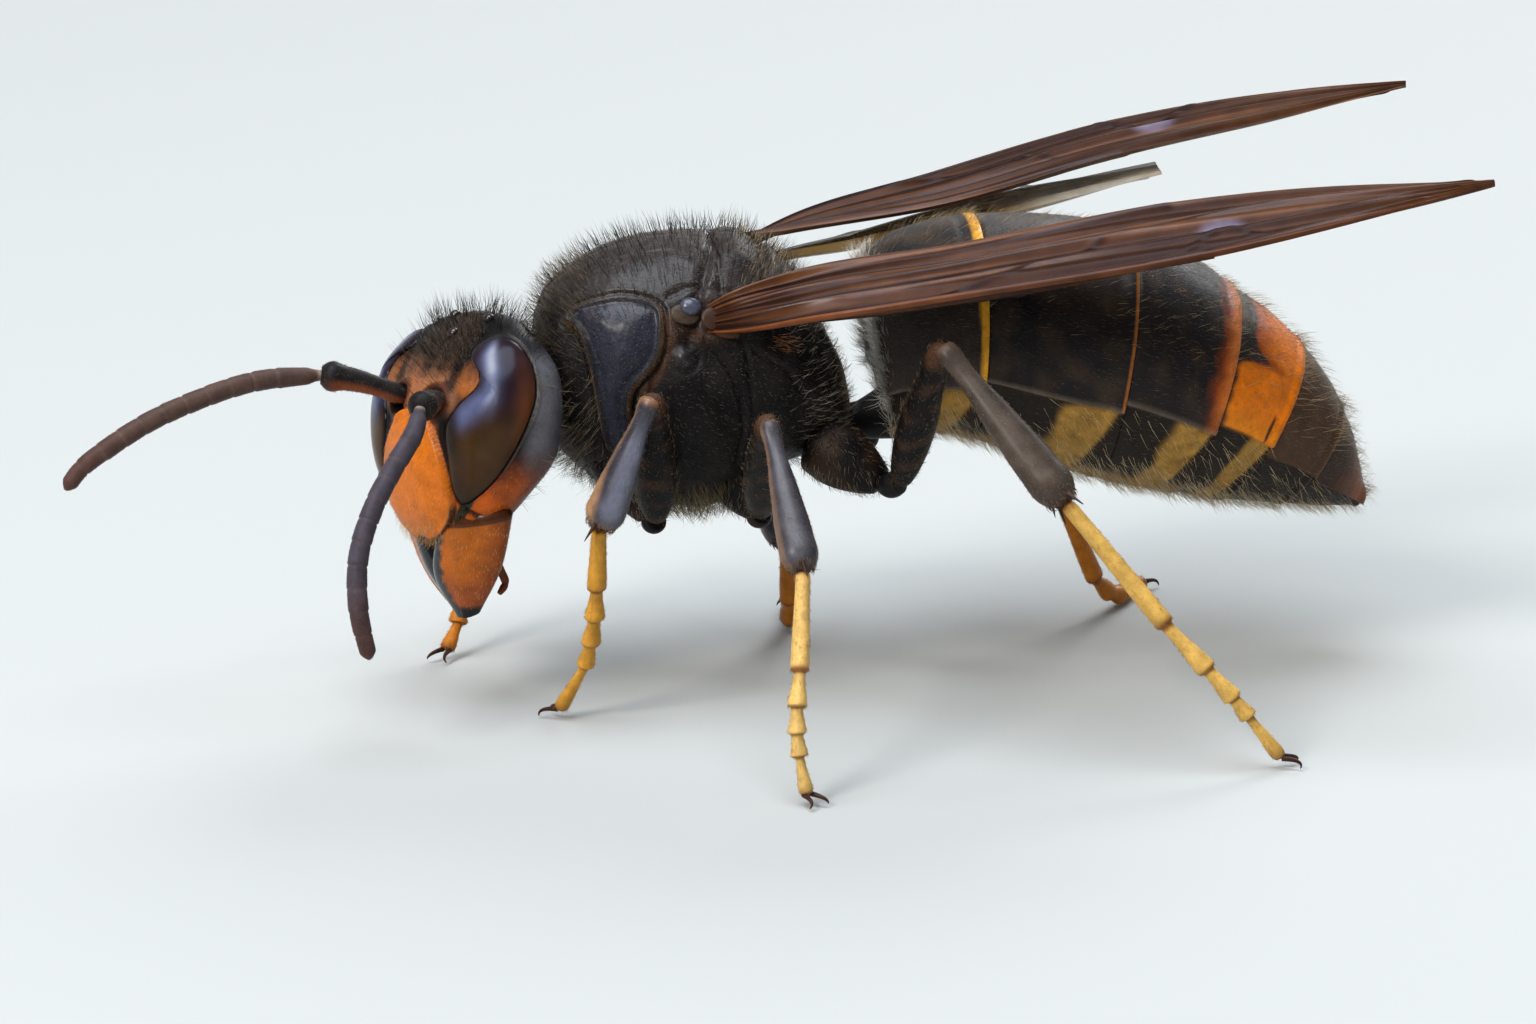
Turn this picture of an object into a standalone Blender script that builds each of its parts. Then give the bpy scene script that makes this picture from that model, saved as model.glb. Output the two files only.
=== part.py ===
"""Asian hornet, life size, standing still on six feet: head towards -X, left side towards -Y, +Z up.

Sizes are in millimetres and are turned into metres where a mesh is made. Every shape is a stack of
rings, a grid, or a patch raised on another shape's surface. A piece that grows from another one is
first made into it and then cut clear of that one's outline grown by GAP, so that they meet face to
face.
"""

import math

import bmesh
import bpy
import numpy as np

MM = 0.001
GAP = 0.3
FLOOR_MIDDLE = np.array([-0.204, -1.984, 0.0])

# Colour, roughness and metallic value of each finish
FINISHES = {
    "black_cuticle": ((0.012, 0.010, 0.009), 0.42, 0.0),
    "brown_cuticle": ((0.055, 0.030, 0.018), 0.40, 0.0),
    "orange_cuticle": ((0.70, 0.20, 0.022), 0.38, 0.0),
    "yellow_cuticle": ((0.76, 0.36, 0.055), 0.40, 0.0),
    "compound_eye": ((0.050, 0.014, 0.008), 0.12, 0.0),
    "wing_membrane": ((0.16, 0.065, 0.030), 0.30, 0.0),
}

# Head: middle, heading to the hornet's left, nod, and roll to its right, then its level sections
HEAD_MIDDLE = np.array([-7.54, -1.05, 6.76])
HEAD_TURN = math.radians(31)
HEAD_NOD = math.radians(2)
HEAD_ROLL = math.radians(7)
# Height, half width, front and back of each level section
HEAD_SECTIONS = (
    (-2.66, 0.30, 1.15, -0.75),
    (-2.52, 0.75, 1.38, -0.35),
    (-2.16, 1.45, 1.56, 0.20),
    (-1.62, 2.05, 1.68, 0.75),
    (-0.90, 2.55, 1.72, 1.20),
    (0.10, 2.82, 1.64, 1.50),
    (1.10, 2.80, 1.34, 1.62),
    (1.90, 2.45, 0.82, 1.58),
    (2.46, 1.90, 0.15, 1.38),
    (2.78, 1.05, -0.35, 1.15),
    (2.89, 0.30, -0.60, 0.90),
)
HEAD_POWER = 2.35
# Bean outlines of the compound eye, as turn from the side towards the face in degrees and height
EYE_OUTLINE = (
    (9, 2.28),
    (-1, 1.92),
    (-3, 1.22),
    (2, 0.52),
    (12, -0.18),
    (28, -0.92),
    (44, -1.32),
    (55, -1.00),
    (62, -0.28),
    (66, 0.50),
    (58, 1.02),
    (46, 1.42),
    (47, 1.80),
    (58, 2.16),
    (47, 2.38),
    (28, 2.44),
)
EYE_MIDDLE = np.array([28.0, 1.25])
MM_PER_DEGREE = np.array([0.045, 1.0])
EYE_RISE = 0.22
EYE_SINK = 0.55
CLYPEUS_OUTLINE = (
    (98, 0.76),
    (82, 0.76),
    (72, 0.14),
    (65, -0.82),
    (58, -1.62),
    (64, -2.14),
    (78, -2.40),
    (102, -2.40),
    (116, -2.14),
    (122, -1.62),
    (115, -0.82),
    (108, 0.14),
)
CLYPEUS_MIDDLE = np.array([90.0, -1.10])
CLYPEUS_RISE = 0.20

# Thorax: middle x and z, half height, half width and forward lean of each section
THORAX_SECTIONS = (
    (-5.38, 8.20, 0.80, 0.80, 2),
    (-5.32, 8.20, 1.50, 1.40, 2),
    (-5.10, 8.15, 2.08, 1.95, 3),
    (-4.70, 8.08, 2.58, 2.35, 4),
    (-4.10, 8.02, 2.97, 2.65, 5),
    (-3.40, 8.00, 3.24, 2.86, 5),
    (-2.60, 8.00, 3.40, 2.95, 4),
    (-1.60, 8.00, 3.42, 2.95, 0),
    (-0.60, 7.98, 3.15, 2.85, -4),
    (0.15, 7.80, 2.70, 2.62, -9),
    (0.60, 7.35, 1.95, 2.20, -20),
    (1.15, 6.90, 1.35, 1.60, -28),
    (1.55, 6.50, 0.80, 1.00, -32),
    (1.80, 6.35, 0.40, 0.50, -20),
)
# Side-view seams from above the back to below the belly, as x and z
SEAM_PRONOTUM = ((-9.0, 10.30), (-3.00, 10.30), (-2.92, 9.25), (-3.50, 8.40), (-3.66, 7.95), (-3.45, 6.4),
                 (-3.4, 2.0))
SEAM_PROPODEUM = ((-1.50, 14.0), (-1.35, 10.2), (-0.80, 9.0), (-0.55, 6.5), (-0.50, 2.0))

# Waist and gaster sections: x, z, half height, half width and forward lean. Whole numbers of the
# first column are the seams between the six rings of the gaster.
GASTER_SECTIONS = (
    (0.00, 2.75, 8.25, 1.95, 1.75, 9),
    (0.12, 2.66, 8.40, 2.12, 2.15, 8),
    (0.35, 3.10, 8.72, 2.38, 2.55, 3),
    (0.65, 4.10, 8.88, 2.60, 2.88, 0),
    (1.00, 5.10, 8.85, 2.76, 3.05, -2),
    (1.50, 6.98, 8.48, 3.08, 3.30, -6),
    (2.00, 8.55, 8.12, 3.13, 3.32, -9),
    (2.50, 9.78, 7.66, 3.00, 3.20, -14),
    (3.00, 10.88, 7.12, 2.66, 3.00, -18),
    (3.50, 11.65, 6.72, 2.46, 2.72, -24),
    (4.00, 12.32, 6.28, 2.22, 2.42, -29),
    (4.50, 13.03, 5.84, 1.86, 2.05, -32),
    (5.00, 13.66, 5.38, 1.45, 1.65, -33),
    (5.60, 14.52, 4.70, 0.76, 0.92, -28),
    (6.00, 15.05, 4.12, 0.16, 0.18, -25),
)
RING_STEP = 0.10
WAIST_START, WAIST_END = (1.30, 0.0, 6.50), (3.30, 0.0, 6.80)
WAIST_WIDE, WAIST_DEEP = (0.62, 0.42, 0.40, 0.55), (0.60, 0.40, 0.38, 0.50)
NECK_START, NECK_END = (-4.20, 0.0, 7.90), (-6.30, -0.35, 7.40)
NECK_WIDE, NECK_DEEP = (0.85, 0.80, 0.75), (0.80, 0.75, 0.70)
# Mandible edges in the head's own ahead, left and up: the cutting edge, and the outer edge
MANDIBLE_EDGES = (
    ((1.35, 0.80, -1.85), (1.45, 0.46, -3.14), (0.92, 0.28, -4.40)),
    ((0.35, 2.05, -1.80), (0.48, 1.52, -3.14), (0.62, 0.55, -4.32)),
)
MANDIBLE_HALF = (0.42, 0.36, 0.16)
PALP_PATH = ((-0.10, 0.70, -1.70), (-0.28, 0.75, -2.50), (-0.36, 0.78, -3.20), (-0.14, 0.80, -3.70))
PALP_HALF = 0.25
# Where an antenna is set in, as turn and height on the head, then each antenna from its scape's end
ANTENNA_ROOT = (78, 1.04)
ANTENNAE = {
    "left": ((-8.82, -3.95, 8.12), (-8.98, -4.40, 7.70), (-9.55, -5.05, 6.92), (-10.02, -5.55, 6.18),
             (-10.44, -6.05, 5.06), (-10.48, -6.40, 3.90), (-10.34, -6.50, 2.88)),
    "right": ((-11.10, -0.90, 8.27), (-12.67, -1.20, 8.23), (-14.32, -1.60, 7.82), (-15.37, -1.90, 7.42),
              (-16.26, -2.20, 6.94), (-17.04, -2.40, 6.39), (-17.39, -2.50, 5.95)),
}
SCAPE_HALF = (0.24, 0.30, 0.33, 0.35, 0.31)
FLAGELLUM_HALF = 0.26
FLAGELLUM_JOINTS = (1.9, 1.0, 1.0, 1.0, 1.0, 1.0, 1.0, 1.0, 1.0, 1.0, 1.15)
COXA_HALF = {"for": 0.78, "mid": 0.72, "hin": 0.80}
# Half widths at even steps down a limb as shares of its own, and its thickness as a share of its width
COXA_SWELL = (1.0, 1.05, 0.95, 0.70)
FEMUR_SWELL = (0.66, 0.95, 1.04, 1.0, 0.86, 0.72, 0.56)
FEMUR_FLAT = 0.86
TIBIA_SWELL = (0.78, 0.90, 1.0, 1.04, 0.86)
TIBIA_FLAT = 0.74
KNEE_STEP = 0.25
# Spurs and claws: how far back the root is, how far on the tip, its spread, and the half width
SPUR = (0.40, 0.32, 0.52, 0.18)
CLAW = (0.35, 0.45, 0.42, 0.20)
CLAW_DROP = 0.22
# How high each column of a wing's grid stands, from the leading edge to the inner one
FOREWING_COLUMNS = (0.5, 1.0, 0.1, 0.0, 0.8, 0.0, 0.0, 0.7, 0.0, 0.5, 0.2)
HINDWING_COLUMNS = (0.6, 0.0, 0.8, 0.0, 0.7, 0.0, 0.3)

# Each leg from the body to the claws: joints as x, y, z, then half widths of femur and tibia
LEGS = {
    "fore_left": {
        "coxa": ((-4.05, -1.10, 6.50), (-3.10, -2.05, 4.75)),
        "femur": ((-3.00, -2.30, 4.75), (-3.29, -4.60, 8.42)),
        "tarsus": ((-4.59, -4.70, 5.22), (-4.64, -4.40, 3.60), (-4.68, -4.18, 2.80), (-4.76, -3.95, 2.12),
                   (-4.88, -3.75, 1.50), (-5.48, -3.25, 0.26)),
        "half": (0.54, 0.46),
    },
    "fore_right": {
        "coxa": ((-4.05, 1.10, 6.50), (-3.80, 2.10, 4.90)),
        "femur": ((-3.80, 2.35, 4.90), (-5.60, 4.50, 7.20)),
        "tarsus": ((-7.45, 3.40, 4.30), (-7.52, 3.05, 2.65), (-7.56, 2.85, 1.90), (-7.60, 2.70, 1.30),
                   (-7.66, 2.55, 0.85), (-7.98, 2.15, 0.26)),
        "half": (0.54, 0.46),
    },
    "mid_left": {
        "coxa": ((-1.15, -1.10, 5.90), (-0.50, -2.25, 4.85)),
        "femur": ((-0.45, -2.50, 4.90), (-0.63, -6.00, 8.13)),
        "tarsus": ((-0.07, -8.60, 5.07), (-0.30, -9.95, 3.00), (-0.40, -10.30, 2.25), (-0.41, -10.48, 1.65),
                   (-0.37, -10.60, 1.15), (-0.22, -10.80, 0.26)),
        "half": (0.50, 0.42),
    },
    "mid_right": {
        "coxa": ((-1.15, 1.00, 5.90), (-0.80, 1.90, 4.80)),
        "femur": ((-0.80, 2.15, 4.80), (-0.46, 5.34, 5.55)),
        "tarsus": ((0.72, 2.40, 2.75), (0.85, 3.05, 1.05), (0.92, 3.55, 0.50), (0.97, 4.10, 0.30),
                   (1.02, 4.60, 0.28), (1.12, 5.60, 0.26)),
        "half": (0.50, 0.42),
    },
    "hind_left": {
        "coxa": ((1.10, -1.05, 6.30), (2.60, -2.15, 5.50)),
        "femur": ((3.00, -2.60, 5.60), (3.65, -5.20, 9.68)),
        "tarsus": ((6.36, -7.40, 6.26), (8.66, -8.50, 3.45), (9.60, -8.90, 2.45), (10.22, -9.05, 1.75),
                   (10.58, -9.08, 1.30), (11.38, -9.10, 0.26)),
        "half": (0.48, 0.52),
    },
    "hind_right": {
        "coxa": ((1.10, 1.05, 6.30), (2.55, 2.15, 5.50)),
        "femur": ((2.90, 2.50, 5.60), (5.40, 5.60, 7.50)),
        "tarsus": ((7.95, 3.40, 3.45), (9.00, 4.30, 1.05), (9.45, 4.85, 0.52), (9.80, 5.35, 0.30),
                   (10.08, 5.80, 0.28), (10.65, 6.70, 0.26)),
        "half": (0.48, 0.52),
    },
}
TARSUS_HALF = 0.27
KNEE_HALF = 0.30

# Wing edges from root to tip as x, y, z: the leading edge, and the folded inner edge
FOREWINGS = {
    "left": (
        ((-1.95, -2.20, 9.40), (-1.20, -3.15, 9.60), (0.94, -4.60, 10.22), (4.53, -5.60, 10.95),
         (9.75, -6.60, 11.96), (14.00, -6.55, 12.90), (17.00, -5.40, 13.37)),
        ((-1.85, -2.05, 9.95), (-1.20, -2.80, 10.20), (0.58, -2.45, 10.85), (4.33, -2.40, 11.48),
         (9.65, -3.10, 12.55), (14.19, -4.20, 13.15), (17.00, -5.25, 13.42)),
    ),
    "right": (
        ((-1.95, 2.20, 9.40), (-1.20, 3.15, 9.75), (0.90, 4.35, 10.75), (4.82, 5.20, 11.75),
         (10.00, 6.30, 12.85), (14.00, 6.40, 13.40), (17.08, 5.40, 13.76)),
        ((-1.85, 2.05, 9.95), (-1.20, 2.80, 10.25), (0.70, 2.45, 10.80), (4.45, 2.40, 11.45),
         (9.48, 3.10, 12.60), (14.02, 4.20, 13.25), (17.05, 5.25, 13.70)),
    ),
}
HINDWINGS = {
    "left": (
        ((-0.95, -1.95, 9.45), (-0.10, -3.00, 9.80), (2.60, -3.70, 10.15), (6.00, -4.20, 10.70),
         (10.40, -4.30, 11.50)),
        ((-0.90, -1.80, 9.75), (-0.05, -2.60, 9.95), (2.60, -2.60, 10.35), (6.00, -2.80, 10.90),
         (10.40, -3.40, 11.75)),
    ),
    "right": (
        ((-0.95, 1.95, 9.45), (-0.10, 3.00, 9.85), (2.60, 3.80, 10.45), (6.00, 4.50, 11.20),
         (10.40, 4.30, 12.00)),
        ((-0.90, 1.80, 9.75), (-0.05, 2.60, 10.00), (2.60, 2.60, 10.45), (6.00, 2.80, 11.05),
         (10.40, 3.30, 11.95)),
    ),
}
WING_THICKNESS = 0.5
WING_ROWS = 16
VEIN_RISE = 0.12


def smooth(knots, at):
    """Cubic through the knots: their first column is the parameter, and slopes are central differences."""
    knots = np.asarray(knots, float)
    at = np.atleast_1d(np.asarray(at, float))
    stations, values = knots[:, 0], knots[:, 1:]
    slopes = np.gradient(values, stations, axis=0)
    low = np.clip(np.searchsorted(stations, at, side="right") - 1, 0, len(stations) - 2)
    span = (stations[low + 1] - stations[low])[:, None]
    w = (at - stations[low])[:, None] / span
    return (
        values[low] * (1 + 2 * w) * (1 - w) ** 2
        + slopes[low] * span * w * (1 - w) ** 2
        + values[low + 1] * w**2 * (3 - 2 * w)
        + slopes[low + 1] * span * w**2 * (w - 1)
    )


def along(points, at):
    """Smooth path through points, read at fractions of its chord length."""
    points = np.asarray(points, float)
    lengths = np.concatenate([[0], np.cumsum(np.linalg.norm(np.diff(points, axis=0), axis=1))])
    return smooth(np.column_stack([lengths / lengths[-1], points]), at)


def unit(vectors):
    vectors = np.asarray(vectors, float)
    return vectors / np.linalg.norm(vectors, axis=-1, keepdims=True)


def oval(sides, power=2.0):
    """Cosine and sine round a ring, squared up where the power is over 2."""
    turn = np.arange(sides) * 2 * math.pi / sides
    c, s = np.cos(turn), np.sin(turn)
    return np.sign(c) * np.abs(c) ** (2 / power), np.sign(s) * np.abs(s) ** (2 / power)


# Making and joining meshes


def material(finish):
    found = bpy.data.materials.get(finish)
    if found:
        return found
    colour, roughness, metallic = FINISHES[finish]
    made = bpy.data.materials.new(finish)
    made.use_nodes = True
    shader = made.node_tree.nodes["Principled BSDF"]
    shader.inputs["Base Color"].default_value = (*colour, 1)
    shader.inputs["Roughness"].default_value = roughness
    shader.inputs["Metallic"].default_value = metallic
    made.diffuse_color = (*colour, 1)
    return made


def solid(name, points, faces, finish):
    """An object from points in millimetres, with every face turned outwards."""
    mesh = bpy.data.meshes.new(name)
    places = (np.asarray(points) - FLOOR_MIDDLE) * MM
    mesh.from_pydata(places.tolist(), [], [tuple(map(int, face)) for face in faces])
    bm = bmesh.new()
    bm.from_mesh(mesh)
    bmesh.ops.recalc_face_normals(bm, faces=bm.faces)
    if bm.calc_volume(signed=True) < 0:
        bmesh.ops.reverse_faces(bm, faces=bm.faces)
    bm.to_mesh(mesh)
    bm.free()
    mesh.shade_smooth()
    mesh.materials.append(material(finish))
    made = bpy.data.objects.new(name, mesh)
    bpy.context.scene.collection.objects.link(made)
    return made


def rings_solid(name, rings, finish):
    """A closed skin over a stack of rings, each end closed by a fan to its middle."""
    rings = np.asarray(rings, float)
    count, sides = rings.shape[:2]
    points = np.concatenate([rings.reshape(-1, 3), rings[:1].mean(axis=1), rings[-1:].mean(axis=1)])
    faces = []
    for i in range(count - 1):
        for j in range(sides):
            a, b = i * sides + j, i * sides + (j + 1) % sides
            faces += [(a, b, b + sides), (a, b + sides, a + sides)]
    last = (count - 1) * sides
    for j in range(sides):
        following = (j + 1) % sides
        faces += [(following, j, count * sides), (last + j, last + following, count * sides + 1)]
    return solid(name, points, faces, finish)


def apply_modifiers(target):
    graph = bpy.context.evaluated_depsgraph_get()
    mesh = bpy.data.meshes.new_from_object(target.evaluated_get(graph))
    target.modifiers.clear()
    target.data = mesh


def keep_largest(target):
    """Leaves only the closed surface that holds the most volume, in triangles."""
    bm = bmesh.new()
    bm.from_mesh(target.data)
    bmesh.ops.triangulate(bm, faces=bm.faces)
    left, shells = set(bm.faces), []
    while left:
        shell, front = set(), [left.pop()]
        while front:
            face = front.pop()
            shell.add(face)
            for edge in face.edges:
                for other in edge.link_faces:
                    if other in left:
                        left.discard(other)
                        front.append(other)
        volume = sum(f.verts[0].co.dot(f.verts[1].co.cross(f.verts[2].co)) for f in shell)
        shells.append((volume, shell))
    largest = max(shells, key=lambda pair: pair[0])[1]
    bmesh.ops.delete(bm, geom=[f for f in bm.faces if f not in largest], context="FACES")
    bmesh.ops.dissolve_degenerate(bm, dist=0.002 * MM, edges=bm.edges)
    bmesh.ops.triangulate(bm, faces=bm.faces)
    bm.to_mesh(target.data)
    bm.free()
    target.data.shade_smooth()


def boolean(target, tools, operation):
    """Joins or cuts the target by the tools, which are used up."""
    group = bpy.data.collections.new(target.name + "_tools")
    bpy.context.scene.collection.children.link(group)
    for tool in tools:
        bpy.context.scene.collection.objects.unlink(tool)
        group.objects.link(tool)
    change = target.modifiers.new(operation.lower(), "BOOLEAN")
    change.operation = operation
    change.solver = "EXACT"
    change.operand_type = "COLLECTION"
    change.collection = group
    apply_modifiers(target)
    for tool in tools:
        bpy.data.objects.remove(tool)
    bpy.data.collections.remove(group)
    keep_largest(target)
    return target


def side_prism(name, outline, half_width=9.0):
    """The side-view outline carried across the animal, used to keep one part of a whole."""
    front = [(x, -half_width, z) for x, z in outline]
    back = [(x, half_width, z) for x, z in outline]
    count = len(outline)
    faces = [tuple(range(count)), tuple(range(2 * count - 1, count - 1, -1))]
    faces += [(i, (i + 1) % count, (i + 1) % count + count, i + count) for i in range(count)]
    return solid(name, front + back, faces, "black_cuticle")


# Ring stacks


def body_rings(sections, at, sides, extra=0.0, power=2.0):
    """Leaning rings across the body: the top of a ring with a positive lean stands ahead of its foot."""
    x, z, tall, wide, lean = smooth(sections, at).T
    lean = np.radians(lean)[:, None]
    across, up = oval(sides, power)
    tall, wide = tall[:, None] + extra, wide[:, None] + extra
    rise = tall * up
    along_x, along_z = x[:, None] - rise * np.sin(lean), z[:, None] + rise * np.cos(lean)
    return np.stack([along_x, wide * across, along_z], axis=-1)


def tube_rings(path, wide, deep, sides, facing, extra=0.0):
    """Rings square to a path, their wide side square to the facing direction; extra grows all of them."""
    path = np.array(path, float)
    heading = unit(np.gradient(path, axis=0))
    path[0] -= heading[0] * extra
    path[-1] += heading[-1] * extra
    across = unit(np.cross(heading, np.asarray(facing, float)))
    up = np.cross(across, heading)
    c, s = oval(sides)
    wide, deep = (np.asarray(half)[:, None, None] + extra for half in (wide, deep))
    sideways, upwards = across[:, None] * c[None, :, None], up[:, None] * s[None, :, None]
    return path[:, None] + sideways * wide + upwards * deep


# Head


def head_axes():
    """Face direction, the head's own left and its up, as unit vectors."""
    face = np.array([-math.cos(HEAD_TURN), -math.sin(HEAD_TURN), 0.0])
    left = np.array([math.sin(HEAD_TURN), -math.cos(HEAD_TURN), 0.0])
    up = np.array([0.0, 0.0, 1.0])
    ahead = face * math.cos(HEAD_NOD) - up * math.sin(HEAD_NOD)
    up = up * math.cos(HEAD_NOD) + face * math.sin(HEAD_NOD)
    c, s = math.cos(HEAD_ROLL), math.sin(HEAD_ROLL)
    return ahead, left * c + up * s, up * c - left * s


def head_place(ahead, left, up):
    """A point of the head from its distances ahead, to its left and up from its middle."""
    f, s, u = head_axes()
    ahead, left, up = (np.asarray(v, float)[..., None] for v in (ahead, left, up))
    return HEAD_MIDDLE + f * ahead + s * left + u * up


def head_surface(turn, height, side=1, extra=0.0):
    """The head's skin at a turn from its side towards its face, in degrees, and a height."""
    turn, height = np.broadcast_arrays(np.radians(np.asarray(turn, float)), np.asarray(height, float))
    wide, front, back = smooth(HEAD_SECTIONS, height.ravel()).T.reshape(3, *height.shape)
    c, s = np.cos(turn), np.sin(turn)
    middle, deep = (front - back) / 2, (front + back) / 2
    reach = 2 / HEAD_POWER
    ahead = middle + np.sign(s) * np.abs(s) ** reach * (deep + extra)
    return head_place(ahead, side * np.sign(c) * np.abs(c) ** reach * (wide + extra), height)


def head_normal(turn, height, side=1):
    step_turn, step_height = 1.0, 0.02
    around = head_surface(turn + step_turn, height, side) - head_surface(turn - step_turn, height, side)
    upward = head_surface(turn, height + step_height, side) - head_surface(turn, height - step_height, side)
    outward = unit(np.cross(around, upward))
    away = head_surface(turn, height, side) - HEAD_MIDDLE
    return outward * np.sign((outward * away).sum(axis=-1, keepdims=True))


def closed_curve(outline, steps):
    """Smooth closed curve through the outline's points, with this many points for each of them."""
    outline = np.asarray(outline, float)
    count = len(outline)
    wrapped = outline[np.arange(-2, count + 3) % count]
    return smooth(np.column_stack([np.arange(-2, count + 3), wrapped]), np.arange(steps * count) / steps)


def grown_outline(outline, middle, extra):
    """The smooth outline moved outwards by extra, without the points that a hollow would fold over."""
    rim = closed_curve(outline, 8) * MM_PER_DEGREE
    onwards = np.roll(rim, -1, axis=0) - np.roll(rim, 1, axis=0)
    outwards = unit(np.column_stack([onwards[:, 1], -onwards[:, 0]]))
    outwards *= np.sign(((rim - middle * MM_PER_DEGREE) * outwards).sum())
    moved = rim + outwards * extra
    clear = np.linalg.norm(moved[:, None] - rim[None], axis=-1).min(axis=1) > 0.97 * extra - 1e-9
    moved = moved[clear]
    closed = np.vstack([moved, moved[:1]])
    lengths = np.concatenate([[0], np.cumsum(np.linalg.norm(np.diff(closed, axis=0), axis=1))])
    at = np.arange(2 * len(outline)) / (2 * len(outline)) * lengths[-1]
    return np.column_stack([np.interp(at, lengths, closed[:, i]) for i in (0, 1)]) / MM_PER_DEGREE


def head_patch(name, outline, middle, side, rise, sink, finish, rings=4, extra=0.0):
    """A lens on the head's skin: the outline shrunk ring by ring, crowned by rise and sunk by sink."""
    rim = grown_outline(outline, middle, extra)
    count = len(rim)
    reach = np.sqrt(1 - np.linspace(0, 1, rings + 1)[:-1] ** 2)[:, None, None]
    outer = middle + (rim - middle) * reach
    crown = np.sqrt(np.clip(1 - reach[..., 0] ** 2, 0, 1))
    skin = head_surface(outer[..., 0], outer[..., 1], side)
    normal = head_normal(outer[..., 0], outer[..., 1], side)
    top = skin + normal * (0.02 + extra + rise * crown)[..., None]
    top_middle = head_surface(*middle, side) + head_normal(*middle, side) * (0.02 + extra + rise)
    inwards = head_normal(*middle, side)
    base = skin[0] - inwards * (sink + extra)
    base_middle = head_surface(*middle, side) - inwards * (sink + extra)
    stack = np.concatenate([top[::-1], base[None]])
    points = np.concatenate([stack.reshape(-1, 3), [top_middle, base_middle]])
    faces = []
    for i in range(len(stack) - 1):
        for j in range(count):
            a, b = i * count + j, i * count + (j + 1) % count
            faces += [(a, b, b + count), (a, b + count, a + count)]
    last, poles = (len(stack) - 1) * count, len(stack) * count
    for j in range(count):
        following = (j + 1) % count
        faces += [(following, j, poles), (last + j, last + following, poles + 1)]
    return solid(name, points, faces, finish)


def head_loft(name, sides=28, extra=0.0):
    low, high = HEAD_SECTIONS[0][0], HEAD_SECTIONS[-1][0]
    heights = (low + high) / 2 - (high - low) / 2 * np.cos(np.linspace(0.12, math.pi - 0.12, 17))
    turns = np.arange(sides) * 360 / sides
    rings = head_surface(turns[None, :], heights[:, None], 1, extra)
    rings[0] -= head_axes()[2] * extra
    rings[-1] += head_axes()[2] * extra
    return rings_solid(name, rings, "orange_cuticle")


def make_head():
    head = head_loft("head")
    boolean(head, [clypeus()], "UNION")
    boolean(head, [eye("eye_hole", side, GAP) for side in (1, -1)], "DIFFERENCE")
    eye("eye_left", 1)
    eye("eye_right", -1)


def clypeus(extra=0.0):
    outline, middle = CLYPEUS_OUTLINE, CLYPEUS_MIDDLE
    return head_patch("clypeus", outline, middle, 1, CLYPEUS_RISE, 0.5, "orange_cuticle", 3, extra)


def eye(name, side, extra=0.0):
    return head_patch(name, EYE_OUTLINE, EYE_MIDDLE, side, EYE_RISE, EYE_SINK, "compound_eye", 4, extra)


# Thorax, waist and gaster


def thorax_rings(extra=0.0, sides=28):
    sections = np.column_stack([np.arange(len(THORAX_SECTIONS)), THORAX_SECTIONS])
    at = np.linspace(0, len(sections) - 1, 2 * len(sections) - 1)
    rings = body_rings(sections, at, sides, extra, 2.15)
    rings[0, :, 0] -= extra
    rings[-1, :, 0] += extra
    return rings


def moved_seam(seam, by):
    return [(x + by, z + by) for x, z in seam]


def make_thorax():
    half = GAP / 2
    collar = moved_seam(SEAM_PRONOTUM, -half) + [(-9.0, 2.0)]
    middle = moved_seam(SEAM_PRONOTUM, half) + moved_seam(SEAM_PROPODEUM, -half)[::-1] + [(-9.0, 14.0)]
    rear = moved_seam(SEAM_PROPODEUM, half) + [(5.0, 2.0), (5.0, 14.0)]
    for name, outline in (("prothorax", collar), ("mesothorax", middle), ("metathorax", rear)):
        whole = rings_solid(name, thorax_rings(), "black_cuticle")
        boolean(whole, [side_prism(name + "_part", outline)], "INTERSECT")


def gaster_rings(start, end, count, sides=24, extra=0.0):
    return body_rings(GASTER_SECTIONS, np.linspace(start, end, count), sides, extra)


def make_gaster():
    seams = [(x, z) for t, x, z, _, _, _ in GASTER_SECTIONS if t % 1 == 0]
    lengths = np.linalg.norm(np.diff(seams, axis=0), axis=1)
    for i in range(6):
        back = GAP / 2 / lengths[i]
        start, end = (i + back if i else 0), (i + 1 - back if i < 5 else 6)
        rings = gaster_rings(start, end, 6)
        swell = np.linspace(0, RING_STEP, 6)[:, None, None] if i < 5 else 0
        middle = rings.mean(axis=1, keepdims=True)
        rings += unit(rings - middle) * swell
        rings_solid(f"gaster_{i + 1}", rings, "black_cuticle" if i != 3 else "orange_cuticle")


def straight(name, start, end, wide, deep, sides, finish, facing=(0, 0, 1), extra=0.0):
    """A short limb with a swelling: wide and deep are half widths at even steps along it."""
    path = np.linspace(start, end, len(wide))
    return rings_solid(name, tube_rings(path, wide, deep, sides, facing, extra), finish)


def make_waist_and_neck():
    waist = straight("petiole", WAIST_START, WAIST_END, WAIST_WIDE, WAIST_DEEP, 12, "black_cuticle")
    first = rings_solid("first_ring_grown", gaster_rings(0, 1, 6, extra=GAP), "black_cuticle")
    boolean(waist, [grown_thorax(), first], "DIFFERENCE")
    neck = straight("neck", NECK_START, NECK_END, NECK_WIDE, NECK_DEEP, 12, "black_cuticle")
    boolean(neck, [grown_thorax(), head_loft("head_grown", extra=GAP)], "DIFFERENCE")


def grown_thorax():
    return rings_solid("thorax_grown", thorax_rings(GAP), "black_cuticle")


# Head appendages


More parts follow.
